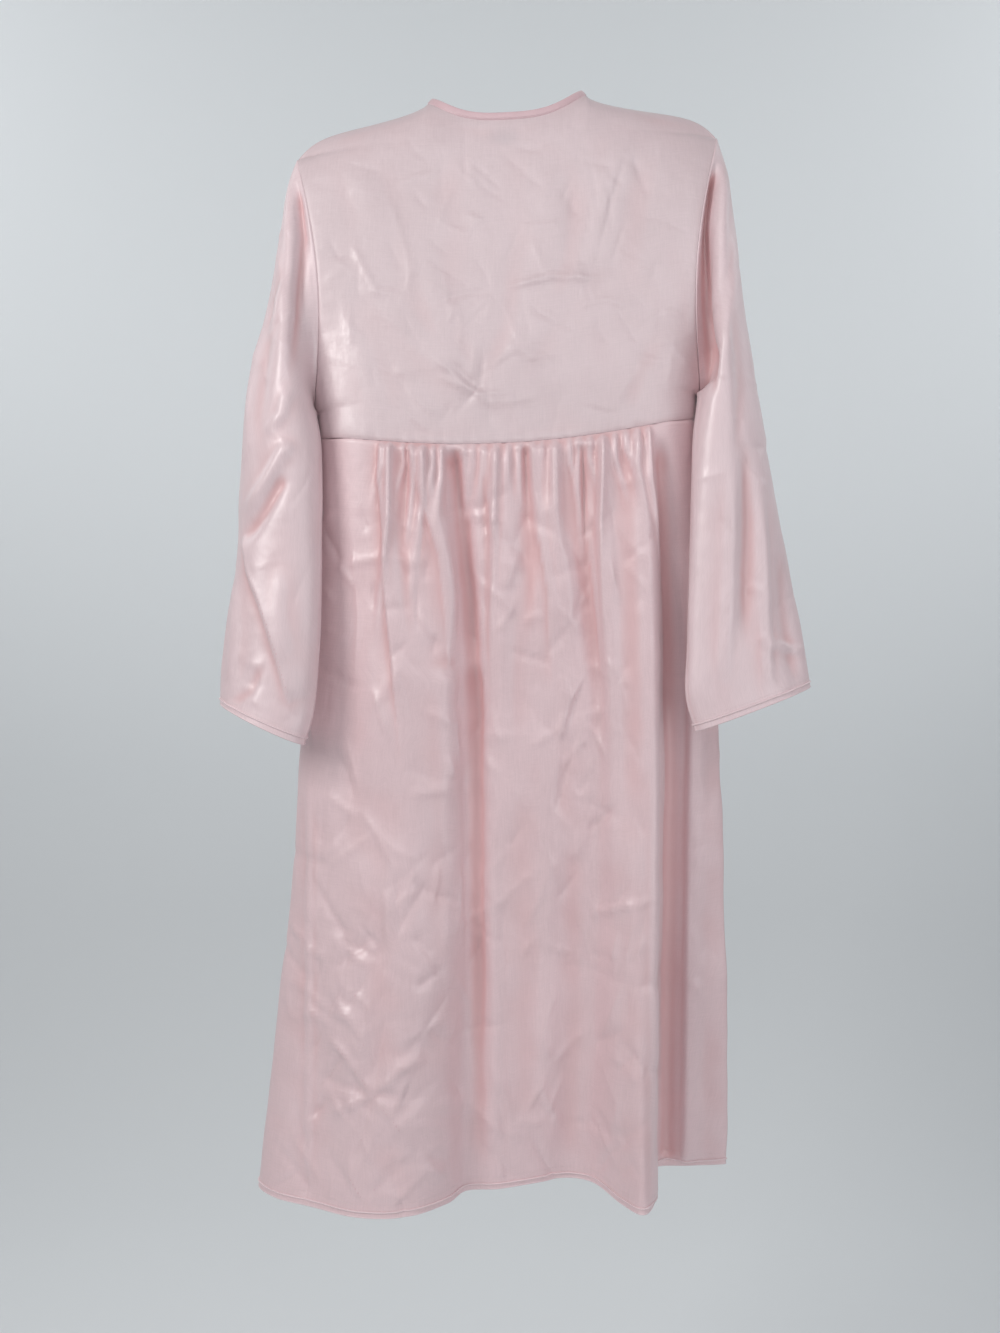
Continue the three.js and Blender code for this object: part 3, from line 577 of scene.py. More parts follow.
# The gathers under the back yoke: where each starts on the seam, its length, width and height.
GATHERS = [
    (121, 70, 3.6, 3.0), (111, 210, 4.6, 5.5), (101, 60, 3.2, 3.4), (91, 120, 4.2, 4.6),
    (81, 170, 4.0, 5.2), (71, 64, 3.2, 3.8), (62, 96, 3.6, 4.6), (43, 110, 4.2, 4.8),
    (33, 60, 3.2, 3.6), (23, 84, 3.4, 3.8), (10, 230, 4.2, 4.8), (-1, 60, 3.2, 3.4),
    (-11, 90, 3.6, 4.2), (-23, 120, 3.8, 4.4), (-34, 56, 3.2, 3.4), (-46, 130, 4.4, 5.2),
    (-58, 70, 3.4, 3.6), (-69, 150, 4.2, 4.8), (-80, 62, 3.2, 3.6), (-92, 250, 4.4, 5.4),
    (-103, 80, 3.4, 3.6), (-113, 56, 3.2, 3.4), (-124, 110, 3.8, 4.4), (-136, 150, 4.0, 4.6),
]


def gathers(x, z, gathered, seed, spread=1.12):
    """Small pleats that start at the yoke seam and die out below it."""
    rng = np.random.default_rng(seed)
    relief = np.zeros(np.shape(x))
    for start, length, width, height in gathered:
        top = seam_height(start) - HANG_TILT * start
        drift = rng.uniform(-5, 5)
        line = [(start, top + 4), (start + drift * 0.4, top - length * 0.35),
                (start * spread + drift, top - length)]
        relief += fold(x, z, line, width, 1.35 * height, 0, 0.8, rng.uniform(-0.6, 0.6))
    return relief


def back_skirt_relief(x, z):
    """Gathers and long folds of the back skirt, and its pressed creases, as two reliefs."""
    relief = gathers(x, z, GATHERS, 11)
    for line, width, height in [
        ([(98, -352), (97, -390), (100, -440), (96, -504), (92, -560)], 7, -3.0),
        ([(85, -353), (73, -391), (67, -426), (56, -497), (52, -600)], 9, 5.0),
        ([(51, -354), (46, -391), (40, -476), (37, -504), (33, -600), (30, -716)], 8, -9.0),
        ([(60, -560), (52, -700), (48, -860), (50, -1000)], 12, 4.5),
        ([(34, -560), (31, -700), (29, -860), (28, -1087)], 9, -6.5),
        ([(7, -354), (-2, -419), (2, -500), (4, -600), (0, -720)], 10, 3.6),
        ([(-16, -352), (-20, -410), (-22, -480), (-20, -560)], 8, -3.6),
        ([(-50, -350), (-44, -419), (-56, -473), (-66, -560)], 9, 4.0),
        ([(-72, -346), (-76, -430), (-80, -520), (-90, -610), (-96, -690)], 11, -4.6),
        ([(-95, -341), (-95, -426), (-100, -504), (-104, -676), (-96, -800)], 9, 5.0),
        ([(-122, -337), (-128, -380), (-134, -470), (-138, -600), (-136, -760)], 10, 5.0),
    ]:
        relief += fold(x, z, line, width, 1.3 * height, 0.05, 0.5)
    # where the cloth laps over itself: a sharp edge, raised on its -X side
    for line, height, reach in [
        ([(121, -346), (124, -380), (119, -440), (117, -504), (108, -590), (98, -680)], 6.0, 26),
        ([(96, -350), (88, -386), (79, -420), (67, -460), (61, -520), (58, -600)], 4.0, 16),
        ([(22, -353), (20, -400), (12, -450), (16, -520), (18, -640)], 4.4, 14),
        ([(-22, -352), (-27, -400), (-30, -440), (-40, -500), (-44, -600)], 4.6, 18),
        ([(-71, -346), (-76, -390), (-76, -440), (-86, -520), (-92, -600)], 4.6, 20),
    ]:
        relief += ledge(x, z, line, 1.8, height, reach, 0.04, 0.5)
    # the deep fold on the -X side, its near edge and the strip of skirt past it
    relief += fold(x, z, [(-148, -338), (-156, -420), (-163, -540), (-167, -700), (-168, -1087)],
                   9, -9.0, 0.05, 0.02)
    relief += ledge(x, z, [(-176, -420), (-181, -560), (-181, -700), (-183, -1087)],
                    2.2, 6.0, 20, 0.3, 0.02)
    relief += fold(x, z, [(-140, -560), (-141, -760), (-142, -1087)], 4.5, 3.0, 0.3, 0.02)
    for line, width, height in [
        ([(196, -640), (194, -800), (193, -1087)], 4, 1.8),
        ([(168, -560), (172, -760), (176, -960)], 20, 2.4),
        ([(140, -420), (146, -560), (150, -760)], 16, -2.6),
        ([(120, -640), (124, -800), (118, -1000)], 22, -2.4),
        ([(14, -700), (12, -860), (12, -1087)], 8, 3.0),
        ([(-12, -640), (-16, -820), (-20, -1087)], 15, -2.6),
        ([(-40, -600), (-42, -760), (-40, -1000)], 10, 2.0),
        ([(-64, -700), (-68, -900), (-62, -1087)], 13, -3.0),
        ([(-100, -820), (-102, -960), (-96, -1087)], 11, 2.6),
    ]:
        relief += fold(x, z, line, width, height, 0.25, 0.2)
    creases = np.zeros(x.shape)
    for line, height in [
        ([(-78, -812), (-110, -798), (-146, -788)], 1.3),
        ([(-84, -560), (-60, -600), (-44, -650)], 0.8),
        ([(-58, -596), (-50, -640), (-46, -690)], 1.2),
        ([(-70, -620), (-50, -700), (-34, -726)], -1.0),
        ([(150, -700), (110, -740), (70, -760)], 0.8),
        ([(200, -880), (170, -900), (130, -905)], 0.9),
        ([(60, -860), (36, -900), (30, -960)], 0.8),
        ([(40, -1000), (4, -1030), (-30, -1034)], 0.9),
        ([(186, -960), (150, -1000), (110, -1060)], 0.9),
        ([(-90, -940), (-110, -990), (-100, -1040)], 0.8),
        ([(92, -760), (120, -820), (112, -870)], -0.9),
        ([(176, -470), (120, -462), (64, -468)], 0.8),
        ([(150, -430), (144, -520), (150, -600)], 0.7),
        ([(-100, -420), (-118, -452), (-140, -470)], 0.9),
        ([(-88, -380), (-110, -392), (-136, -384)], 0.7),
    ]:
        creases += crease(x, z, line, 3.6, 2.7 * height)
    rays = [(8, 66), (52, 72), (98, 84), (140, 70), (186, 60), (232, 76), (285, 80), (330, 60)]
    creases += star(x, z, (128, -972), rays, 4.6, 3.8)
    creases += star(x, z, (12, -800), rays[1::2], 4.6, 2.2)
    creases += star(x, z, (-112, -870), rays[::2], 4.6, 2.4)
    creases += star(x, z, (170, -760), rays[::3], 4.6, 2.2)
    creases += scatter(x, z, (-130, -1070), (200, -400), 240, 102, 80, 45, 3.4, 2.9)
    creases += scatter(x, z, (60, -1070), (220, -820), 60, 103, 40, 60, 3.6, 3.0)
    creases += scatter(x, z, (-208, -1070), (-184, -600), 26, 104, 40, 30, 4.0, 1.3)
    lower = smooth(-z, 380, 700)
    relief += lower * (1.4 * ripple(x, z * 0.35, 62, 5) + 0.35 * ripple(x, z, 46, 6))
    return relief, creases


def front_skirt_relief(x, z, side):
    gathered = [(side * start, length, width, height)
                for start, length, width, height in GATHERS if 14 < start < 125]
    relief = gathers(x, z, gathered, 20 + side)
    for top, hem, width, height in [(120, 150, 13, -5), (92, 110, 12, 4.5), (64, 80, 11, -4),
                                    (38, 52, 10, 4), (150, 188, 14, 4)]:
        line = [(side * top, -360), (side * lerp(top, hem, 0.5), -600), (side * hem, -1087)]
        relief += fold(x, z, line, width, height, 0.05, 0.3)
    creases = star(x, z, (side * 110, -820), [(20, 60), (80, 70), (150, 50), (240, 64)], 3, 1.1)
    creases += scatter(x, z, (-200, -1070), (200, -400), 90, 110 + side, 75, 40, 5.0, 0.8)
    relief += 1.4 * ripple(x, z * 0.35, 70, 30 + side) + 0.35 * ripple(x, z, 46, 40 + side)
    return relief, creases


# Folds on the back of each sleeve: line, width, height, and how they fade in and out.
SLEEVE_FOLDS = {
    "left": [
        ([(206, -84), (198, -150), (199, -230), (203, -300)], 5, -6.0, 0.15, 0.4),
        ([(213, -86), (209, -170), (211, -250), (216, -330)], 7, 4.6, 0.2, 0.5),
        ([(226, -150), (230, -240), (236, -330), (232, -400)], 8, -4.0, 0.3, 0.5),
        ([(244, -200), (249, -300), (252, -380)], 7, 3.0, 0.3, 0.4),
        ([(214, -190), (222, -230), (236, -262)], 6, 2.6, 0.3, 0.4),
        ([(204, -300), (212, -330), (228, -350)], 6, 3.4, 0.3, 0.4),
        ([(202, -352), (226, -392), (250, -424)], 7, 5.0, 0.2, 0.3),
        ([(206, -384), (230, -422), (252, -450)], 7, -4.4, 0.2, 0.3),
        ([(212, -470), (212, -520), (206, -566)], 8, 2.4, 0.3, 0.3),
        ([(262, -470), (258, -530), (262, -600)], 8, 2.6, 0.3, 0.2),
        ([(226, -560), (240, -590), (262, -604)], 6, -2.0, 0.3, 0.3),
    ],
    "right": [
        ([(-203, -70), (-192, -130), (-188, -220), (-192, -316)], 5.5, -19.0, 0.1, 0.25),
        ([(-212, -70), (-207, -150), (-204, -240), (-206, -330)], 6, 5.5, 0.15, 0.6),
        ([(-216, -210), (-222, -300), (-214, -400)], 8, -3.2, 0.3, 0.4),
        ([(-226, -330), (-228, -430), (-223, -560)], 8, -4.6, 0.3, 0.3),
        ([(-212, -360), (-208, -470), (-202, -590)], 7, 3.6, 0.3, 0.2),
        ([(-240, -380), (-243, -470), (-246, -600)], 6, 3.6, 0.3, 0.2),
        ([(-262, -440), (-266, -520), (-276, -590)], 8, -2.8, 0.3, 0.2),
        ([(-236, -543), (-262, -548), (-290, -553)], 5, 2.6, 0.3, 0.3),
    ],
}
SLEEVE_CREASES = {
    "left": [
        ([(222, -560), (232, -566), (248, -562)], 1.2),
        ([(236, -540), (226, -552), (218, -574)], -0.9),
        ([(238, -268), (232, -290), (226, -300)], 1.4),
        ([(244, -470), (232, -474), (216, -466)], 0.8),
    ],
    "right": [
        ([(-204, -484), (-232, -492), (-258, -508)], 1.4),
        ([(-222, -548), (-244, -538), (-266, -540)], 1.4),
        ([(-236, -590), (-256, -606), (-280, -616)], 1.3),
        ([(-240, -572), (-256, -588), (-276, -582)], 1.0),
        ([(-230, -330), (-216, -334), (-204, -330)], 0.8),
    ],
}


def sleeve_relief(name, grid, u, v):
    x, z = grid[..., 0], grid[..., 2]
    side = SIDES[name]
    back = smooth(np.sin(TAU * u), 0.0, 0.3)[:, None]
    relief = np.zeros(x.shape)
    for line, width, height, start, end in SLEEVE_FOLDS[name]:
        relief += fold(x, z, line, width, height, start, end)
    creases = np.zeros(x.shape)
    for line, height in SLEEVE_CREASES[name]:
        creases += crease(x, z, line, 4.0, height)
    creases += scatter(x, z, (side * 235 - 45, -620), (side * 235 + 45, -120), 46, 120 + side,
                      70, 50, 4.0, 1.0)
    if side > 0:
        seam = [(252, -440), (245, -477), (227, -521), (214, -561), (202, -604)]
        relief += ledge(x, z, seam, 1.6, 3.4, 16, 0.1, 0.1)
        relief += fold(x, z, seam, 2.2, 1.8, 0.05, 0.1)
    relief = relief * back
    creases = creases * back
    relief += 1.0 * ripple(x, z * 0.4 + 50 * back, 60, 50) + 0.35 * ripple(x, z, 38, 51)
    from_head = smooth(v, 0.0, 0.03)[None, :]
    return relief * from_head, creases * from_head


# ================= meshes =================

def link(name, data):
    """A new object in the scene that holds data."""
    made = bpy.data.objects.new(name, data)
    bpy.context.scene.collection.objects.link(made)
    return made


def new_object(name, points, faces, materials, corners_uv=None, slots=None):
    """A smooth mesh; corners_uv holds a UV for each corner, slots a material for each face."""
    mesh = bpy.data.meshes.new(name)
    mesh.from_pydata((points * MM).tolist(), [], faces)
    layer = mesh.uv_layers.new(name="UVMap")
    if corners_uv is not None:
        layer.data.foreach_set("uv", (corners_uv * MM).astype(np.float32).ravel())
    mesh.polygons.foreach_set("use_smooth", np.ones(len(faces), bool))
    if slots is not None:
        mesh.polygons.foreach_set("material_index", np.asarray(slots, np.int32))
    for material in materials:
        mesh.materials.append(material)
    mesh.update()
    return link(name, mesh)


def grid_normals(grid, out, wraps=False):
    if wraps:
        ring = grid[:-1]
        across = np.roll(ring, -1, axis=0) - np.roll(ring, 1, axis=0)
        across = np.concatenate([across, across[:1]])
    else:
        across = np.gradient(grid, axis=0)
    along = np.gradient(grid, axis=1)
    return unit(np.cross(across, along)) * out


def blurred(values, reach, wraps):
    """Means of a grid of values over reach steps each way, across and along."""
    for axis in (0, 1):
        mode = "wrap" if wraps and axis == 0 else "edge"
        pads = [(0, 0), (0, 0)]
        pads[axis] = (reach, reach)
        sums = np.cumsum(np.pad(values, pads, mode=mode), axis=axis)
        sums = np.concatenate([np.zeros_like(np.take(sums, [0], axis)), sums], axis=axis)
        count = values.shape[axis]
        high = np.take(sums, np.arange(count) + 2 * reach + 1, axis)
        values = (high - np.take(sums, np.arange(count), axis)) / (2 * reach + 1)
    return values


def valleys(relief, wraps=False):
    """How deep each point lies below the cloth around it, 0 to 1, over fine and broad reach."""
    fine = blurred(relief, 3, wraps) - relief
    broad = blurred(relief, 9, wraps) - relief
    return np.clip(fine / FINE_VALLEY, 0, 1) * 0.5 + np.clip(broad / BROAD_VALLEY, 0, 1) * 0.5


def add_cloth(name, grid, out, materials, thickness=CLOTH, offset=0.0, wraps=False, depths=None):
    """A sheet of cloth from a grid of points: two faces and closed edges, with UVs in metres.

    depths, where given, are kept with the outer face for the material, which paints salmon shade
    into the valleys with them: 1 in the valleys.
    """
    normals = grid_normals(grid, out, wraps)
    count_u, count_v = grid.shape[0] - 1, grid.shape[1] - 1
    columns = count_u if wraps else count_u + 1
    layers = [grid + normals * (offset + face * thickness / 2) for face in (1, -1)]
    points = np.concatenate([layer[:columns].reshape(-1, 3) for layer in layers])
    run_u = np.linalg.norm(np.diff(grid, axis=0), axis=2)
    run_v = np.linalg.norm(np.diff(grid, axis=1), axis=2)
    flat_u = np.concatenate([np.zeros((1, count_v + 1)), np.cumsum(run_u, axis=0)])
    flat_v = np.concatenate([np.zeros((count_u + 1, 1)), np.cumsum(run_v, axis=1)], axis=1)
    flat_u = flat_u - flat_u[count_u // 2]
    uv = stack(flat_u, flat_v)

    def index(i, j, inner):
        return (i % columns) * (count_v + 1) + j + inner * columns * (count_v + 1)

    quads, corner_uv, slots = [], [], []

    def add(corners, slot):
        quads.append(np.stack([index(i, j, inner) for i, j, inner in corners], axis=-1))
        corner_uv.append(np.stack([uv[i, j] for i, j, _ in corners], axis=1))
        slots.append(np.full(len(corners[0][0]), slot))

    i, j = (a.ravel() for a in np.meshgrid(np.arange(count_u), np.arange(count_v), indexing="ij"))
    add([(i, j, 0), (i + 1, j, 0), (i + 1, j + 1, 0), (i, j + 1, 0)], 0)
    add([(i, j + 1, 1), (i + 1, j + 1, 1), (i + 1, j, 1), (i, j, 1)], 1)
    i = np.arange(count_u)
    start, end = np.zeros(count_u, int), np.full(count_u, count_v)
    add([(i + 1, start, 0), (i, start, 0), (i, start, 1), (i + 1, start, 1)], 0)
    add([(i, end, 0), (i + 1, end, 0), (i + 1, end, 1), (i, end, 1)], 0)
    if not wraps:
        j = np.arange(count_v)
        start, end = np.zeros(count_v, int), np.full(count_v, count_u)
        add([(start, j, 0), (start, j + 1, 0), (start, j + 1, 1), (start, j, 1)], 0)
        add([(end, j + 1, 0), (end, j, 0), (end, j, 1), (end, j + 1, 1)], 0)
    faces, uvs = np.concatenate(quads), np.concatenate(corner_uv)
    if out < 0:
        faces, uvs = faces[:, ::-1], uvs[:, ::-1]
    piece = new_object(name, points, faces.tolist(), materials, uvs.reshape(-1, 2),
                       np.concatenate(slots))
    if depths is not None:
        outer = depths[:columns].ravel()
        layer = piece.data.attributes.new("valley", "FLOAT", "POINT")
        layer.data.foreach_set("value", np.concatenate([outer, outer * 0]).astype(np.float32))
    return piece


def add_loft(name, rings, material, closed=False, caps=True):
    """A bar through rings of points (K, N, 3)."""
    rings = np.asarray(rings)
    count, sides = rings.shape[:2]
    k, i = (a.ravel() for a in np.meshgrid(
        np.arange(count if closed else count - 1), np.arange(sides), indexing="ij"))
    after, beside = (k + 1) % count, (i + 1) % sides
    faces = np.stack([k * sides + i, k * sides + beside, after * sides + beside,
                      after * sides + i], axis=-1).tolist()
    run = np.concatenate([[0], np.cumsum(np.linalg.norm(np.diff(rings.mean(1), axis=0), axis=1))])
    run = np.append(run, run[-1])
    girth = np.linalg.norm(rings[0, 1] - rings[0, 0])
    uv = np.stack([stack(girth * i, run[k]), stack(girth * (i + 1), run[k]),
                   stack(girth * (i + 1), run[k + 1]), stack(girth * i, run[k + 1])], axis=1)
    uv = uv.reshape(-1, 2).tolist()
    if caps and not closed:
        for ring in (range(sides)[::-1], range((count - 1) * sides, count * sides)):
            faces.append(list(ring))
            uv += [(girth, 0)] * sides
    return new_object(name, rings.reshape(-1, 3), faces, (material,), np.array(uv))


def tube_rings(path, radius, up, sides=8, closed=False):
    """Rings of a round cord along path (K, 3); up (K, 3) or (3,) is any direction across it."""
    path = np.asarray(path, float)
    if closed:
        along = np.roll(path, -1, axis=0) - np.roll(path, 1, axis=0)
    else:
        along = np.gradient(path, axis=0)
    along = unit(along)
    up = np.broadcast_to(np.asarray(up, float), path.shape)
    first = unit(up - along * np.sum(up * along, axis=1, keepdims=True))
    second = np.cross(along, first)
    turn = TAU * np.arange(sides) / sides
    return (path[:, None] + radius * (np.cos(turn)[None, :, None] * first[:, None]
                                      + np.sin(turn)[None, :, None] * second[:, None]))


def join(name, pieces):
    """Joins meshes into the first one."""
    for piece in bpy.context.selected_objects:
        piece.select_set(False)
    for piece in pieces:
        piece.select_set(True)
    bpy.context.view_layer.objects.active = pieces[0]
    bpy.ops.object.join()
    pieces[0].name = name
    pieces[0].data.name = name
    return pieces[0]


def add_stitches(name, path, normals, pitch, length, radius, material):
    """A row of short threads lying on the cloth along path."""
    path = np.asarray(path, float)
    run = np.concatenate([[0], np.cumsum(np.linalg.norm(np.diff(path, axis=0), axis=1))])
    starts = np.arange(pitch / 2, run[-1] - length, pitch)
    rings = []
    for share in (0.0, 0.25, 0.75, 1.0):
        at = starts + share * length
        centre = np.stack([np.interp(at, run, path[:, k]) for k in range(3)], axis=-1)
        normal = unit(np.stack([np.interp(at, run, normals[:, k]) for k in range(3)], axis=-1))
        ahead = np.stack([np.interp(at + 0.5, run, path[:, k]) for k in range(3)], axis=-1)
        along = unit(ahead - centre)
        side = np.cross(normal, along)
        rise = radius * (0.2 if share in (0.0, 1.0) else 1.0)
        corners = [centre + normal * rise, centre + side * radius * 0.8,
                   centre - normal * radius * 0.6, centre - side * radius * 0.8]
        rings.append(np.stack(corners, axis=1))
    rings = np.stack(rings, axis=1)
    faces = []
    for base in range(0, 16 * len(starts), 16):
        for k in range(3):
            for i in range(4):
                a, b = base + 4 * k + i, base + 4 * k + (i + 1) % 4
                faces.append((a, b, b + 4, a + 4))
        faces.append(tuple(base + i for i in (3, 2, 1, 0)))
        faces.append(tuple(base + 12 + i for i in range(4)))
    return new_object(name, rings.reshape(-1, 3), faces, (material,))


# ================= materials =================

def new_material(name, colour, roughness, **sockets):
    material = bpy.data.materials.new(name)
    material.use_nodes = True
    shader = material.node_tree.nodes["Principled BSDF"]
    shader.inputs["Base Color"].default_value = (*colour, 1)
    shader.inputs["Roughness"].default_value = roughness
    for socket, value in sockets.items():
        shader.inputs[socket.replace("_", " ")].default_value = value
    return material, material.node_tree, shader


def node(tree, kind, **settings):
    """A shader node; each setting is one of its sockets (spaces as underscores) or a property."""
    made = tree.nodes.new("ShaderNode" + kind)
    for key, value in settings.items():
        socket = key.replace("_", " ")
        if socket in made.inputs.keys():
            made.inputs[socket].default_value = value
        else:
            setattr(made, key, value)
    return made


def scaled(tree, source, scale):
    mapping = node(tree, "Mapping")
    mapping.inputs["Scale"].default_value = scale
    tree.links.new(source, mapping.inputs["Vector"])
    return mapping.outputs["Vector"]


def noise(tree, vector, scale, detail=2.0, rough=0.5):
    made = node(tree, "TexNoise", Scale=scale, Detail=detail, Roughness=rough)
    tree.links.new(vector, made.inputs["Vector"])
    return made.outputs["Fac"]


def ramp(tree, source, low, high, first, last):
    """Maps source from low..high onto first..last, smoothly and clamped."""
    made = node(tree, "MapRange", interpolation_type="SMOOTHSTEP")
    limits = {"From Min": low, "From Max": high, "To Min": first, "To Max": last}
    for socket, value in limits.items():
        made.inputs[socket].default_value = value
    tree.links.new(source, made.inputs["Value"])
    return made.outputs["Result"]


def times(tree, first, second):
    made = node(tree, "Math", operation="MULTIPLY")
    tree.links.new(first, made.inputs[0])
    if isinstance(second, (int, float)):
        made.inputs[1].default_value = second
    else:
        tree.links.new(second, made.inputs[1])
    return made.outputs["Value"]


def plus(tree, first, second):
    made = node(tree, "Math", operation="ADD")
    tree.links.new(first, made.inputs[0])
    tree.links.new(second, made.inputs[1])
    return made.outputs["Value"]


def mix_colour(tree, fac, first, second):
    made = node(tree, "Mix", data_type="RGBA")
    tree.links.new(fac, made.inputs["Factor"])
    for socket, value in ((6, first), (7, second)):
        if isinstance(value, tuple):
            made.inputs[socket].default_value = (*value, 1)
        else:
            tree.links.new(value, made.inputs[socket])
    return made.outputs[2]


def bump(tree, height, strength, distance, normal=None):
    made = node(tree, "Bump", Strength=strength, Distance=distance)
    tree.links.new(height, made.inputs["Height"])
    if normal is not None:
        tree.links.new(normal, made.inputs["Normal"])
    return made.outputs["Normal"]


def tint(colour, factor, warm=0.0):
    r, g, b = colour
    return (min(1, r * factor), min(1, g * factor * (1 - warm)), min(1, b * factor * (1 - warm)))


def satin(name, colour, roughness=0.4, crumple=1.0, label_at=None, paint_fold_shade=True):
    """Satin: fine warp threads, a broad gloss, faint unevenness, a net of small crinkles and
    painted salmon shade at the bottoms of folds, unless that is turned off.

    Where label_at is given, the tape sewn inside shows through there as a faint grey patch of
    painted shadow.
    """
    material, tree, shader = new_material(name, colour, roughness, Sheen_Weight=0.12,
                                          Sheen_Roughness=0.4, IOR=1.75)
    links = tree.links
    coordinates = node(tree, "TexCoord")
    uv, place = coordinates.outputs["UV"], coordinates.outputs["Object"]
    broad = noise(tree, place, 9.0, 3.0)
    threads = noise(tree, scaled(tree, uv, (1500, 60, 1)), 1.0, 2.0)
    picks = noise(tree, scaled(tree, uv, (70, 1300, 1)), 1.0, 2.0)
    slubs = plus(tree, times(tree, noise(tree, scaled(tree, uv, (640, 24, 1)), 1.0, 3.0), 0.5),
                 times(tree, noise(tree, scaled(tree, uv, (30, 700, 1)), 1.0, 3.0), 0.5))
    fine = plus(tree, times(tree, threads, 0.6), times(tree, picks, 0.4))
    weave = plus(tree, times(tree, fine, 0.6), times(tree, slubs, 0.4))
    shade = plus(tree, times(tree, ramp(tree, broad, 0.35, 0.65, 0, 1), 0.4),
                 times(tree, ramp(tree, weave, 0.40, 0.60, 0, 1), 0.6))
    dye_and_painted_shade = mix_colour(tree, shade, tint(colour, 0.935, 0.012), tint(colour, 1.045))
    # painted shade: the bottoms of folds turn salmon by how deep each point lies in its valley
    if paint_fold_shade:
        depth = node(tree, "Attribute", attribute_name="valley").outputs["Fac"]
        dye_and_painted_shade = mix_colour(tree, times(tree, depth, 0.7), dye_and_painted_shade, FOLD_SHADE_SALMON)
    # painted shadow: the label tape inside shows as a faint grey patch on the yoke
    if label_at:
        patch = node(tree, "Mapping", vector_type="TEXTURE")
        patch.inputs["Location"].default_value = label_at
        patch.inputs["Scale"].default_value = (0.016, 1.0, 0.011)
        links.new(place, patch.inputs["Vector"])
        away = node(tree, "VectorMath", operation="LENGTH")
        links.new(patch.outputs["Vector"], away.inputs[0])
        shows = ramp(tree, away.outputs["Value"], 0.2, 1.3, 0.2, 0.0)
        dye_and_painted_shade = mix_colour(tree, shows, dye_and_painted_shade, LABEL_SHADOW)
    links.new(dye_and_painted_shade, shader.inputs["Base Color"])
    gloss = plus(tree, times(tree, ramp(tree, noise(tree, place, 24.0, 2.0), 0.3, 0.7, 0, 1), 0.1),
                 ramp(tree, weave, 0.4, 0.6, roughness - 0.1, roughness + 0.04))
    links.new(gloss, shader.inputs["Roughness"])
    crinkles = None
    for turn, scale, weight in ((0.6, (26, 26, 9), 1.0), (-0.5, (40, 40, 14), 0.6)):
        turned = node(tree, "Mapping")
        turned.inputs["Rotation"].default_value = (0, turn, 0)
        turned.inputs["Scale"].default_value = scale
        links.new(place, turned.inputs["Vector"])
        ridge = node(tree, "TexNoise", noise_type="RIDGED_MULTIFRACTAL", Scale=1.0, Detail=1.0)
        links.new(turned.outputs["Vector"], ridge.inputs["Vector"])
        here = ramp(tree, noise(tree, place, 11.0 * weight + 4, 1.0), 0.42, 0.62, 0.1, weight)
        pressed = times(tree, ridge.outputs["Fac"], here)
        crinkles = pressed if crinkles is None else plus(tree, crinkles, pressed)
    soft = noise(tree, place, 60.0, 2.0, 0.45)
    relief = plus(tree, times(tree, crinkles, 0.9), times(tree, soft, 0.7))
    crumpled = bump(tree, relief, 0.6 * crumple, 0.0016)
    woven = bump(tree, weave, 0.3, 0.0004, crumpled)
    links.new(woven, shader.inputs["Normal"])
    return material


def bias_binding(name, colour):
    """Satin strip cut on the bias: slanting threads and small puckers from the stitching."""
    material, tree, shader = new_material(name, colour, 0.36, Sheen_Weight=0.4,
                                          Sheen_Roughness=0.4)
    links = tree.links
    coordinates = node(tree, "TexCoord")
    uv, place = coordinates.outputs["UV"], coordinates.outputs["Object"]
    turned = node(tree, "Mapping")
    turned.inputs["Rotation"].default_value = (0, 0, math.radians(45))
    turned.inputs["Scale"].default_value = (2200, 200, 1)
    links.new(uv, turned.inputs["Vector"])
    twill = noise(tree, turned.outputs["Vector"], 1.0, 1.0)
    pucker = noise(tree, scaled(tree, uv, (60, 420, 1)), 1.0, 2.0)
    tone = noise(tree, place, 30.0, 2.0)
    links.new(mix_colour(tree, tone, tint(colour, 0.9), tint(colour, 1.08)),
              shader.inputs["Base Color"])
    links.new(ramp(tree, twill, 0.3, 0.7, 0.3, 0.46), shader.inputs["Roughness"])
    puckered = bump(tree, pucker, 0.45, 0.0007)
    links.new(bump(tree, twill, 0.12, 0.00015, puckered), shader.inputs["Normal"])
    return material


def thread(name, colour):
    """Twisted thread or cord covered in satin."""
    material, tree, shader = new_material(name, colour, 0.45, Sheen_Weight=0.3)
    coordinates = node(tree, "TexCoord")
    twist = node(tree, "TexWave", Scale=900.0, Distortion=1.5, bands_direction="DIAGONAL")
    tree.links.new(coordinates.outputs["Object"], twist.inputs["Vector"])
    tone = noise(tree, coordinates.outputs["Object"], 60.0, 1.0)
    tree.links.new(mix_colour(tree, tone, tint(colour, 0.93), tint(colour, 1.06)),
                   shader.inputs["Base Color"])
    tree.links.new(bump(tree, twist.outputs["Fac"], 0.25, 0.0002), shader.inputs["Normal"])
    tree.links.new(ramp(tree, twist.outputs["Fac"], 0, 1, 0.4, 0.52), shader.inputs["Roughness"])
    return material


def pearl(name, colour):
    """Moulded button with a pearly swirl."""
    material, tree, shader = new_material(name, colour, 0.16, Coat_Weight=0.6,
                                          Coat_Roughness=0.08)
    coordinates = node(tree, "TexCoord")
    swirl = node(tree, "TexWave", Scale=70.0, Distortion=9.0, Detail=3.0)
    tree.links.new(coordinates.outputs["Object"], swirl.inputs["Vector"])
    tree.links.new(mix_colour(tree, swirl.outputs["Fac"], tint(colour, 0.9), tint(colour, 1.15)),
                   shader.inputs["Base Color"])
    scratches = noise(tree, coordinates.outputs["Object"], 900.0, 2.0)
    tree.links.new(ramp(tree, scratches, 0.3, 0.7, 0.12, 0.24), shader.inputs["Roughness"])
    return material


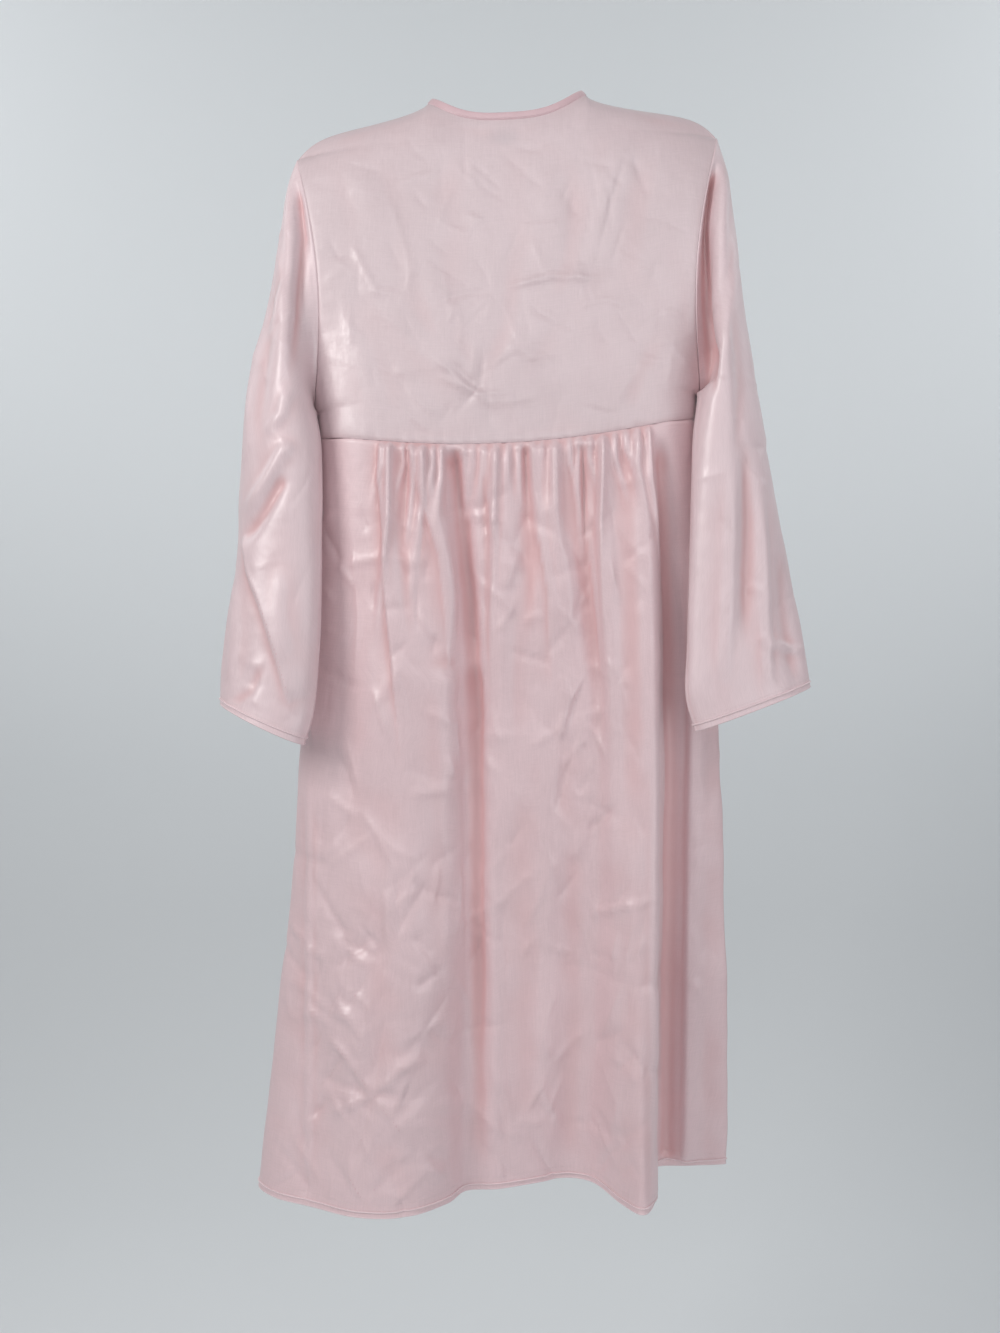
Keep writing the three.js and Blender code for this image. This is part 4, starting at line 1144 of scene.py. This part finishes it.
def tape(name, colour):
    """Blank woven tape: ribs across it."""
    material, tree, shader = new_material(name, colour, 0.75)
    coordinates = node(tree, "TexCoord")
    ribs = node(tree, "TexWave", Scale=420.0, bands_direction="Z")
    tree.links.new(coordinates.outputs["Object"], ribs.inputs["Vector"])
    tone = noise(tree, coordinates.outputs["Object"], 90.0, 1.0)
    tree.links.new(mix_colour(tree, tone, tint(colour, 0.95), tint(colour, 1.02)),
                   shader.inputs["Base Color"])
    tree.links.new(bump(tree, ribs.outputs["Fac"], 0.3, 0.0002), shader.inputs["Normal"])
    return material


def backdrop_with_painted_light():
    """Plain paint, with painted light: a little lighter towards the top."""
    material, tree, shader = new_material("backdrop", BACKDROP, 0.9)
    coordinates = node(tree, "TexCoord")
    height = node(tree, "SeparateXYZ")
    tree.links.new(coordinates.outputs["Object"], height.inputs["Vector"])
    # painted light: the backdrop turns lighter towards the top
    tone = ramp(tree, height.outputs["Z"], -1.9, 0.5, 0, 1)
    tree.links.new(mix_colour(tree, tone, tint(BACKDROP, 0.88), tint(BACKDROP, 1.12)),
                   shader.inputs["Base Color"])
    return material


SATIN = satin("satin", PINK)
# painted shade: the back yoke gets its own darker, greyer copy of the same satin
SATIN_YOKE_PAINTED_SHADE = satin("satin_back_yoke_painted_shade", PINK_YOKE_PAINTED_SHADE, label_at=(0.004, 0.0, -0.050))
# painted shade: the skirt gets its own pinker copy of the same satin
SATIN_SKIRT_PAINTED_SHADE = satin("satin_skirt_painted_shade", PINK_SKIRT_PAINTED_SHADE)
LINING = satin("satin_inside", PINK_INSIDE, 0.6, 0.8, paint_fold_shade=False)
BINDING = bias_binding("binding", ROSE)
PIPING = thread("piping", tint(PINK, 1.03))
THREAD = thread("thread", tint(PINK, 0.95))
BUTTON = pearl("button", PEARL)
TAPE_WEAVE = tape("label", TAPE)
CLOTH_FACES = (SATIN, LINING)
SKIRT_FACES = (SATIN_SKIRT_PAINTED_SHADE, LINING)


# ================= pieces =================

def stand_for(piece, nodes):
    """Hides the CAD nodes that a piece replaces, and hands the piece back."""
    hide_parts(*nodes)
    return piece


def ride(piece, body, slot, *nodes):
    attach(piece, body)
    return stand_for(piece, nodes)


def displace(grid, relief, out, wraps=False):
    return grid + grid_normals(grid, out, wraps) * relief[..., None]


def seam_dip(shares, length, depth=1.3, width=2.2, both_ends=False):
    """How far the cloth turns in where it is sewn, at the start or at both ends of a run."""
    dip = -depth * np.exp(-((shares * length / width) ** 2))
    if both_ends:
        dip -= depth * np.exp(-(((1 - shares) * length / width) ** 2))
    return dip


def free_of_seams(v):
    """How much of its folds a yoke shows at each level: they fade out at both ends."""
    at_top = smooth((1 - v) * YOKE_LENGTH, 0, 16)[None, :]
    return at_top, smooth(v * YOKE_LENGTH, 0, 10)[None, :]


def add_back_yoke():
    grid, u, v = back_yoke_grid(2.5)
    x, z = grid[..., 0], grid[..., 2]
    from_side = np.minimum(u, 1 - u) * BACK_YOKE_WIDTH
    at_top, at_seam = free_of_seams(v)
    inside = smooth(from_side, 0, 14)[:, None] * at_top * at_seam
    relief, creases = yoke_relief(x, z)
    depths = valleys(relief * inside)
    relief = (relief + creases) * inside
    pucker = 0.5 * np.sin(x / 2.1) + 0.4 * np.sin(x / 3.7 + 1)
    relief += pucker * np.exp(-v * YOKE_LENGTH / 7)[None, :] * (np.abs(x) < 146)
    relief += seam_dip(v, YOKE_LENGTH, 0.9, 1.8)[None, :]
    relief += seam_dip(u, BACK_YOKE_WIDTH, 0.7, 1.6, True)[:, None]
    side_pucker = 0.45 * np.sin(z / 2.9) * np.exp(-from_side / 8)[:, None]
    relief += side_pucker * inside
    grid = displace(grid, relief, 1)
    piece = add_cloth("back_yoke_cloth", grid, 1, (SATIN_YOKE_PAINTED_SHADE, LINING), depths=depths)
    return ride(piece, "gown", "satin", "back_yoke")


def add_front_yokes():
    made = {}
    for name, side in SIDES.items():
        grid, u, v = front_yoke_grid(side, 3.4)
        x, z = grid[..., 0], grid[..., 2]
        at_side = smooth(u * FRONT_YOKE_WIDTH, 0, 14)[:, None]
        at_edge = smooth((1 - u) * FRONT_YOKE_WIDTH, 0, 10)[:, None]
        at_top, at_seam = free_of_seams(v)
        inside = at_side * at_edge * at_top * at_seam
        relief = 1.3 * ripple(x, z * 0.6, 120, 60 + side) + 0.4 * ripple(x, z, 42, 70 + side)
        for line, height in [([(60, -170), (90, -210), (130, -230)], 0.9),
                             ([(30, -230), (60, -270), (120, -290)], -0.8),
                             ([(110, -90), (96, -150), (104, -200)], 0.8)]:
            relief += crease(x, z, [(side * a, b) for a, b in line], 2.8, height)
        relief = relief * inside + seam_dip(v, YOKE_LENGTH)[None, :]
        relief = relief + seam_dip(u, FRONT_YOKE_WIDTH, 1.0, 2.0)[:, None]
        grid = displace(grid, relief, -side)
        piece = add_cloth("front_yoke_cloth_" + name, grid, -side, CLOTH_FACES,
                          depths=valleys(relief))
        made[name] = ride(piece, "gown", "satin", "front_yoke_" + name)
    return made


def from_seam(v):
    """How much of its folds a skirt shows at each level: they start just under the yoke seam."""
    return (0.1 + 0.9 * smooth(v * SKIRT_LENGTH, 0, 8))[None, :]


def hem_trims(name, grid, v, out, length, height, wraps=False):
    """Turned hem inside, piping and rolled edge outside, and the hem's stitches, as meshes."""
    rows = (1 - v) * length <= height
    turned = add_cloth(name + "_turned", grid[:, rows], out, (LINING, LINING), STRIP,
                       INNER_LAYER, wraps)
    normals = grid_normals(grid, out, wraps)

    def row_at(distance):
        place = np.interp(1 - distance / length, v, np.arange(len(v)))
        low = min(int(place), len(v) - 2)
        points, ways = (lerp(field[:, low], field[:, low + 1], place - low)
                        for field in (grid, normals))
        return points, unit(ways)

    path, normal = row_at(PIPING_HEIGHT)
    path = path + normal * (CLOTH / 2 + PIPING_RADIUS * 0.55)
    edge, edge_normal = row_at(0.3)
    stitch, stitch_normal = row_at(height - 2.5)
    stitch = stitch + stitch_normal * (CLOTH / 2 + 0.05)
    if wraps:
        path, normal, edge, edge_normal = path[:-1], normal[:-1], edge[:-1], edge_normal[:-1]
    piping = add_loft(name + "_piping", tube_rings(path, PIPING_RADIUS, normal, 8, wraps),
                      PIPING, wraps)
    roll = add_loft(name + "_roll", tube_rings(edge, EDGE_RADIUS, edge_normal, 8, wraps),
                    SATIN, wraps)
    stitches = add_stitches(name + "_stitches", stitch, stitch_normal, 3.0, 1.9, 0.16, THREAD)
    return turned, join(name + "_edge", [piping, roll, stitches])


def add_skirt_cloth(name, grid, t, v, out, edge_share, relief, creases):
    """A skirt panel with its folds; they fade at its side edges and under the yoke seam."""
    shown = smooth(np.minimum(t, 1 - t) * edge_share, 0, 0.4)[:, None]
    depths = valleys(relief * shown * from_seam(v))
    relief = (relief + creases) * shown * from_seam(v)
    relief += seam_dip(v, SKIRT_LENGTH, 1.1, 1.8)[None, :]
    grid = displace(grid, relief, out)
    return add_cloth(name, grid, out, SKIRT_FACES, depths=depths), grid


def add_back_skirt():
    grid, t, v = skirt_grid(BACK_SKIRT, 700, 2.45)
    piece, grid = add_skirt_cloth("back_skirt_cloth", grid, t, v, -1, 20,
                                  *back_skirt_relief(grid[..., 0], grid[..., 2]))
    ride(piece, "gown", "satin", "back_skirt")
    turned, edging = hem_trims("back_hem_trim", grid, v, -1, SKIRT_LENGTH, HEM_HEIGHT)
    ride(turned, "gown", "inside", "back_hem")
    ride(edging, "gown", "piping", "back_hem_piping")


def blend_front(piece, name, slot, *nodes):
    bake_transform(piece)
    stand_for(piece, nodes)


def add_front_skirts():
    for name, side in SIDES.items():
        grid, t, v = skirt_grid(FRONT_SKIRT[side], 300, 3.2)
        piece, grid = add_skirt_cloth("front_skirt_cloth_" + name, grid, t, v, side, 8,
                                      *front_skirt_relief(grid[..., 0], grid[..., 2], side))
        turned, edging = hem_trims("front_hem_trim_" + name, grid, v, side, SKIRT_LENGTH,
                                   HEM_HEIGHT)
        wide = np.cumsum(np.linalg.norm(np.diff(grid[::-1, -1], axis=0), axis=1)) < EDGE_HEM
        columns = int(wide.sum()) + 1
        rows = (v * SKIRT_LENGTH > 3) & ((1 - v) * SKIRT_LENGTH > HEM_HEIGHT + 2)
        strip = add_cloth("front_edge_trim_" + name, grid[-columns:, rows], side,
                          (LINING, LINING), STRIP, INNER_LAYER)
        blend_front(piece, name, "satin", "front_skirt_" + name)
        blend_front(turned, name, "inside", "front_hem_" + name)
        blend_front(edging, name, "piping", "front_hem_piping_" + name)
        blend_front(strip, name, "inside", "front_edge_hem_" + name)


def blend_sleeve(piece, name, slot, *nodes):
    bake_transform(piece)
    stand_for(piece, nodes)


def add_sleeves():
    for name, side in SIDES.items():
        grid, u, v = sleeve_grid(name, 2.6)
        relief, creases = sleeve_relief(name, grid, u, v)
        depths = valleys(relief, True)
        relief = relief + creases
        relief[-1] = relief[0]
        relief = relief + seam_dip(v, SLEEVE_RUN, 0.7, 1.6)[None, :]
        grid = displace(grid, relief, -side, True)
        piece = add_cloth("sleeve_cloth_" + name, grid, -side, CLOTH_FACES,
                          wraps=True, depths=depths)
        turned, edging = hem_trims("cuff_trim_" + name, grid, v, -side, SLEEVES[name]["length"],
                                   CUFF_HEM_HEIGHT, True)
        blend_sleeve(piece, name, "satin", "sleeve_head_" + name, "sleeve_bend_" + name,
                     "sleeve_" + name)
        blend_sleeve(turned, name, "inside", "cuff_hem_" + name)
        blend_sleeve(edging, name, "piping", "cuff_piping_" + name)


def flat_ring(centre, wide, thin, width, thickness, notch=0.0):
    """A rounded strip's section, with a shallow groove a third of the way across its outside."""
    turn = TAU * np.arange(16) / 16
    across = np.sign(np.cos(turn)) * np.abs(np.cos(turn)) ** 0.6 * width / 2
    lift = np.sign(np.sin(turn)) * np.abs(np.sin(turn)) ** 0.8 * thickness / 2
    groove = notch * np.exp(-(((across + width / 6) / 0.8) ** 2)) * np.sign(lift)
    return centre + across[:, None] * wide + (lift - groove)[:, None] * thin


def add_binding():
    edge = FRONT_GAP / 2
    share = np.linspace(0, 1, 40)
    front_x = lerp(edge, NECK_HALF, share**0.8)[:-1]
    front = yoke_point(front_x, front_neck_height(front_x), -1)
    back_x = NECK_HALF * np.cos(np.linspace(0, math.pi, 70))
    back = yoke_point(back_x, back_neck_height(back_x), 1)
    back[[0, -1], 1] = 0
    mirrored = yoke_point(-front_x, front_neck_height(front_x), -1)[::-1]
    path = np.concatenate([front, back, mirrored])
    for _ in range(3):
        path[1:-1] = (path[:-2] + 2 * path[1:-1] + path[2:]) / 4
    along = unit(np.gradient(path, axis=0))
    inward = stack(-0.9 * path[:, 0] / NECK_HALF, 0, 1)
    inward = unit(inward - along * np.sum(inward * along, axis=1, keepdims=True))
    thin = np.cross(inward, along)
    thin = thin * np.sign(np.sum(thin * path * (0, 1, 0), axis=1, keepdims=True) + 1e-9)
    centre = path + inward * (BINDING_WIDTH / 2 - 0.6)
    rings = [flat_ring(*station, BINDING_WIDTH, BINDING_THICKNESS, 0.35)
             for station in zip(centre, inward, thin)]
    roll = add_loft("neck_binding_cloth", rings, BINDING)
    line = path + inward * 1.0 + thin * (BINDING_THICKNESS / 2 + 0.02)
    stitches = add_stitches("neck_binding_stitches", line, thin, 2.6, 1.7, 0.15, THREAD)
    piece = join("neck_binding_cloth", [roll, stitches])
    ride(piece, "gown", "binding", "neck_binding")
    return piece


def yoke_strip(name, face, x, z_low, z_high, replaced, material, slot, drop=1.2,
               thickness=STRIP):
    """A strip on the inside of the yoke between two height lines, one layer in."""
    v = np.linspace(0, 1, max(3, int(np.max(np.abs(z_high - z_low)) / 4)))
    across = np.broadcast_to(x[:, None], (len(x), len(v)))
    height = lerp(z_low[:, None], z_high[:, None], v[None, :])
    out = face if x[0] > x[-1] else -face
    piece = add_cloth(name, yoke_point(across, height, face), out, (material, material),
                      thickness, -(CLOTH / 2 + drop + thickness / 2))
    return ride(piece, "gown", slot, replaced)


def add_yoke_insides():
    made = {"back": [], "left": [], "right": []}
    x = np.linspace(YOKE_HALF - 6, 6 - YOKE_HALF, 90)
    low = seam_height(x)
    made["back"].append(yoke_strip("back_yoke_allowance", 1, x, low + 1, low + 1 + ALLOWANCE,
                                   "back_yoke_seam", LINING, "inside", 1.8))
    x = np.linspace(LABEL_WIDTH / 2, -LABEL_WIDTH / 2, 14)
    top = np.full(len(x), -BACK_NECK_DROP - LABEL_DROP)
    made["back"].append(yoke_strip("neck_label_tape", 1, x, top - LABEL_HEIGHT, top,
                                   "neck_label", TAPE_WEAVE, "label", 2.0))
    for name, side in SIDES.items():
        edge = FRONT_GAP / 2
        x = np.linspace(edge + FACING, edge, 14)
        facing = yoke_strip("front_facing_cloth_" + name, -1, side * x, seam_height(x) + 12,
                            front_neck_height(x) - 1, "front_facing_" + name, LINING,
                            "inside", 1.8)
        x = np.linspace(YOKE_HALF - 6, edge, 50)
        low = seam_height(x)
        seam = yoke_strip("front_yoke_allowance_" + name, -1, side * x, low + 1,
                          low + 1 + ALLOWANCE, "front_yoke_seam_" + name, LINING, "inside", 1.8)
        made[name] += [facing, seam]
    return made


def add_shoulder_allowance(name, side):
    from_neck, from_shoulder = SHOULDER_SEAM_INSET
    x = side * np.linspace(NECK_HALF + from_neck, SHOULDER_HALF - from_shoulder, 40)
    z = shoulder_height(x) - HANG_TILT * x - SHOULDER_SEAM_DROP
    wave = 0.3 * np.sin(x / 5)
    rings = [flat_ring(np.array((a, 0.0, b)), np.array((0.0, 1.0, 0.0)),
                       np.array((0.0, 0.0, 1.0)), ALLOWANCE - 3, STRIP)
             for a, b in zip(x, z + wave)]
    ride(add_loft("shoulder_allowance_" + name, rings, LINING), "gown", "inside",
         "shoulder_seam_" + name)


def add_armhole_allowance(name, side):
    turn = TAU * np.arange(72) / 72
    z = (ARMHOLE_TOP + UNDERARM) / 2 + (ARMHOLE_DEPTH / 2 - ARMHOLE_SEAM_INSET) * np.cos(turn)
    y = (ARMHOLE_HALF_DEPTH - ARMHOLE_SEAM_INSET) * np.sin(turn)
    x = side * (armhole_edge(z) - ARMHOLE_SEAM_SHIFT)
    rings = [flat_ring(np.array((a, b, c - HANG_TILT * a)), np.array((1.0, 0.0, 0.0)),
                       np.array((0.0, math.sin(t), math.cos(t))), ALLOWANCE - 1, STRIP)
             for a, b, c, t in zip(x, y, z, turn)]
    ride(add_loft("armhole_allowance_" + name, rings, LINING, True), "gown", "inside",
         "armhole_seam_" + name)


def add_side_allowance(name, side):
    rings = []
    for v in np.linspace(0.01, 0.97, 60):
        seam = skirt_row(BACK_SKIRT, np.array([0.0 if side > 0 else 1.0]), v)[0]
        inward = unit(np.array((-side, SEAM_LEAN * v, 0.0)))
        across = np.array((-inward[1], inward[0], 0.0))
        centre = seam + inward * (4 + ALLOWANCE / 2) + across * 0.5 * math.sin(40 * v)
        rings.append(flat_ring(centre, inward, across, ALLOWANCE, STRIP))
    ride(add_loft("side_allowance_" + name, rings, LINING), "gown", "inside",
         "side_seam_" + name)


def add_inner_seams():
    """Allowances under the shoulders, round the armholes and down the side seams."""
    for name, side in SIDES.items():
        add_shoulder_allowance(name, side)
        add_armhole_allowance(name, side)
        add_side_allowance(name, side)


def add_sleeve_seams():
    """Allowances down the inner line of each sleeve, below the bend."""
    for name in SIDES:
        grid, u, v = sleeve_grid(name, 6.0)
        inner, outer = grid[len(u) // 2], grid[0]
        keep = (v > 0.5) & (v < 0.965)
        wide = unit(outer - inner)[keep]
        centre = inner[keep] + wide * (3 + ALLOWANCE / 2)
        rings = [flat_ring(c, w, np.array((0.0, 1.0, 0.0)), ALLOWANCE, STRIP)
                 for c, w in zip(centre, wide)]
        piece = add_loft("sleeve_allowance_" + name, rings, LINING)
        blend_sleeve(piece, name, "inside", "sleeve_seam_" + name)


def lathe(name, profile, base, material, segments=40):
    """A turned piece whose axis points out of the gown's front."""
    turn = TAU * np.arange(segments) / segments
    rings = [np.stack([base[0] + r * np.cos(turn), np.full(segments, base[1] - h),
                       base[2] + r * np.sin(turn)], axis=-1) for r, h in profile]
    return add_loft(name, rings, material)


def add_button(number, skin):
    shank = lathe("button_shank_cloth_" + number,
                  [(1.5, 0.0), (1.25, 0.6), (1.1, 1.4), (1.3, 2.6)], skin, THREAD, 16)
    ride(shank, "gown", "piping", "button_shank_" + number)
    r, h = BUTTON_RADIUS, BUTTON_HEIGHT
    profile = [(0.05, 0.0), (r * 0.8, 0.0), (r * 0.94, 0.25), (r, 0.9), (r * 0.97, 1.5),
               (r * 0.9, 1.95), (r * 0.8, 2.1), (r * 0.72, 2.0), (r * 0.62, 2.05),
               (r * 0.45, 2.6), (r * 0.25, h * 0.86), (0.05, h * 0.9)]
    button = lathe("button_pearl_" + number, profile, skin - (0, 2.4, 0), BUTTON)
    ride(button, "gown", "button", "button_" + number)


def add_button_loop(number, skin):
    reach = BUTTON_RADIUS + LOOP_RADIUS + 0.7
    tail = BUTTON_INSET + FRONT_GAP + 5
    outline = [(-tail, 2.2), (-reach, 4.4)]
    outline += [(reach * math.cos(math.radians(a)), reach * math.sin(math.radians(a)))
                for a in range(120, -121, -40)]
    outline += [(-reach, -4.4), (-tail, -2.2)]
    points = [(skin[0] + a, skin[1] - 0.4 - LOOP_RADIUS, skin[2] + b) for a, b in outline]
    path = smooth_curve(points, np.linspace(0, 1, 90))
    rings = tube_rings(path, LOOP_RADIUS, (0, 1, 0), 10)
    ride(add_loft("button_loop_cord_" + number, rings, PIPING), "gown", "piping",
         "button_loop_" + number)


def add_buttons():
    x = FRONT_GAP / 2 + BUTTON_INSET
    for k in range(BUTTONS):
        z = -FRONT_NECK_DROP - FIRST_BUTTON_DROP - BUTTON_PITCH * k
        skin = yoke_point(np.array(x), z, -1) - (0, CLOTH / 2, 0)
        add_button(str(k + 1), skin)
        add_button_loop(str(k + 1), skin)


# ================= stage =================

def add_stage():
    """A pale floor that curves up into a pale wall well behind the gown."""
    floor, wall, radius, half = -1.75, -2.2, 0.9, 4.0
    arc = [(wall + radius - radius * math.sin(a), floor + radius - radius * math.cos(a))
           for a in np.linspace(0, math.pi / 2, 24)]
    profile = [(4.0, floor), *arc, (wall, 3.5)]
    points = [(x, y, z) for x in (-half, half) for y, z in profile]
    count = len(profile)
    faces = [(i, i + 1, count + i + 1, count + i) for i in range(count - 1)]
    mesh = bpy.data.meshes.new("backdrop")
    mesh.from_pydata(points, [], faces)
    mesh.polygons.foreach_set("use_smooth", np.ones(len(faces), bool))
    mesh.materials.append(backdrop_with_painted_light())
    link("backdrop", mesh)


def add_light(name, place, target, size, power, colour):
    data = bpy.data.lights.new(name, "AREA")
    data.shape, data.energy, data.color = "RECTANGLE", power, colour
    data.size, data.size_y = size
    light = link(name, data)
    light.location = place
    light.rotation_euler = (Vector(target) - Vector(place)).to_track_quat("-Z", "Y").to_euler()


def add_lights():
    """A broad soft box over the camera, a smaller one at the left, and lights on the backdrop."""
    middle = (0, 0, -0.5)
    add_light("key", (-0.2, 2.1, 0.6), middle, (2.4, 1.3), 15, (0.98, 0.99, 1.0))
    add_light("left", (1.6, 1.6, 0.6), middle, (0.8, 1.0), 27, (1.0, 0.985, 0.965))
    add_light("right", (-1.7, 1.5, -0.5), middle, (1.2, 1.6), 10, (0.97, 0.985, 1.0))
    add_light("front", (0, -2.1, 0.2), (0, 0, 0.2), (2.0, 1.6), 18, (1.0, 0.99, 0.98))
    for side in (-1, 1):
        add_light("backdrop_light", (side * 2.6, -0.9, 1.3), (0, -2.2, 0.6), (1.6, 1.6), 14,
                  (0.97, 0.985, 1.0))
    world = bpy.data.worlds.new("studio")
    world.use_nodes = True
    background = world.node_tree.nodes["Background"]
    background.inputs["Color"].default_value = (0.93, 0.965, 1.0, 1)
    background.inputs["Strength"].default_value = 0.25
    bpy.context.scene.world = world


def add_camera():
    data = bpy.data.cameras.new("camera")
    data.sensor_width = SENSOR
    data.lens = SENSOR / 2 * CAMERA_PLACE[1] / HALF_FRAME
    camera = link("camera", data)
    camera.location = CAMERA_PLACE
    camera.rotation_euler = (math.pi / 2, 0, math.pi)
    bpy.context.scene.camera = camera
    bpy.context.scene.view_settings.view_transform = "Standard"


add_camera()
add_stage()
add_lights()
back_yoke = add_back_yoke()
front_yokes = add_front_yokes()
add_back_skirt()
add_front_skirts()
add_sleeves()
binding = add_binding()
insides = add_yoke_insides()
add_inner_seams()
add_sleeve_seams()
add_buttons()
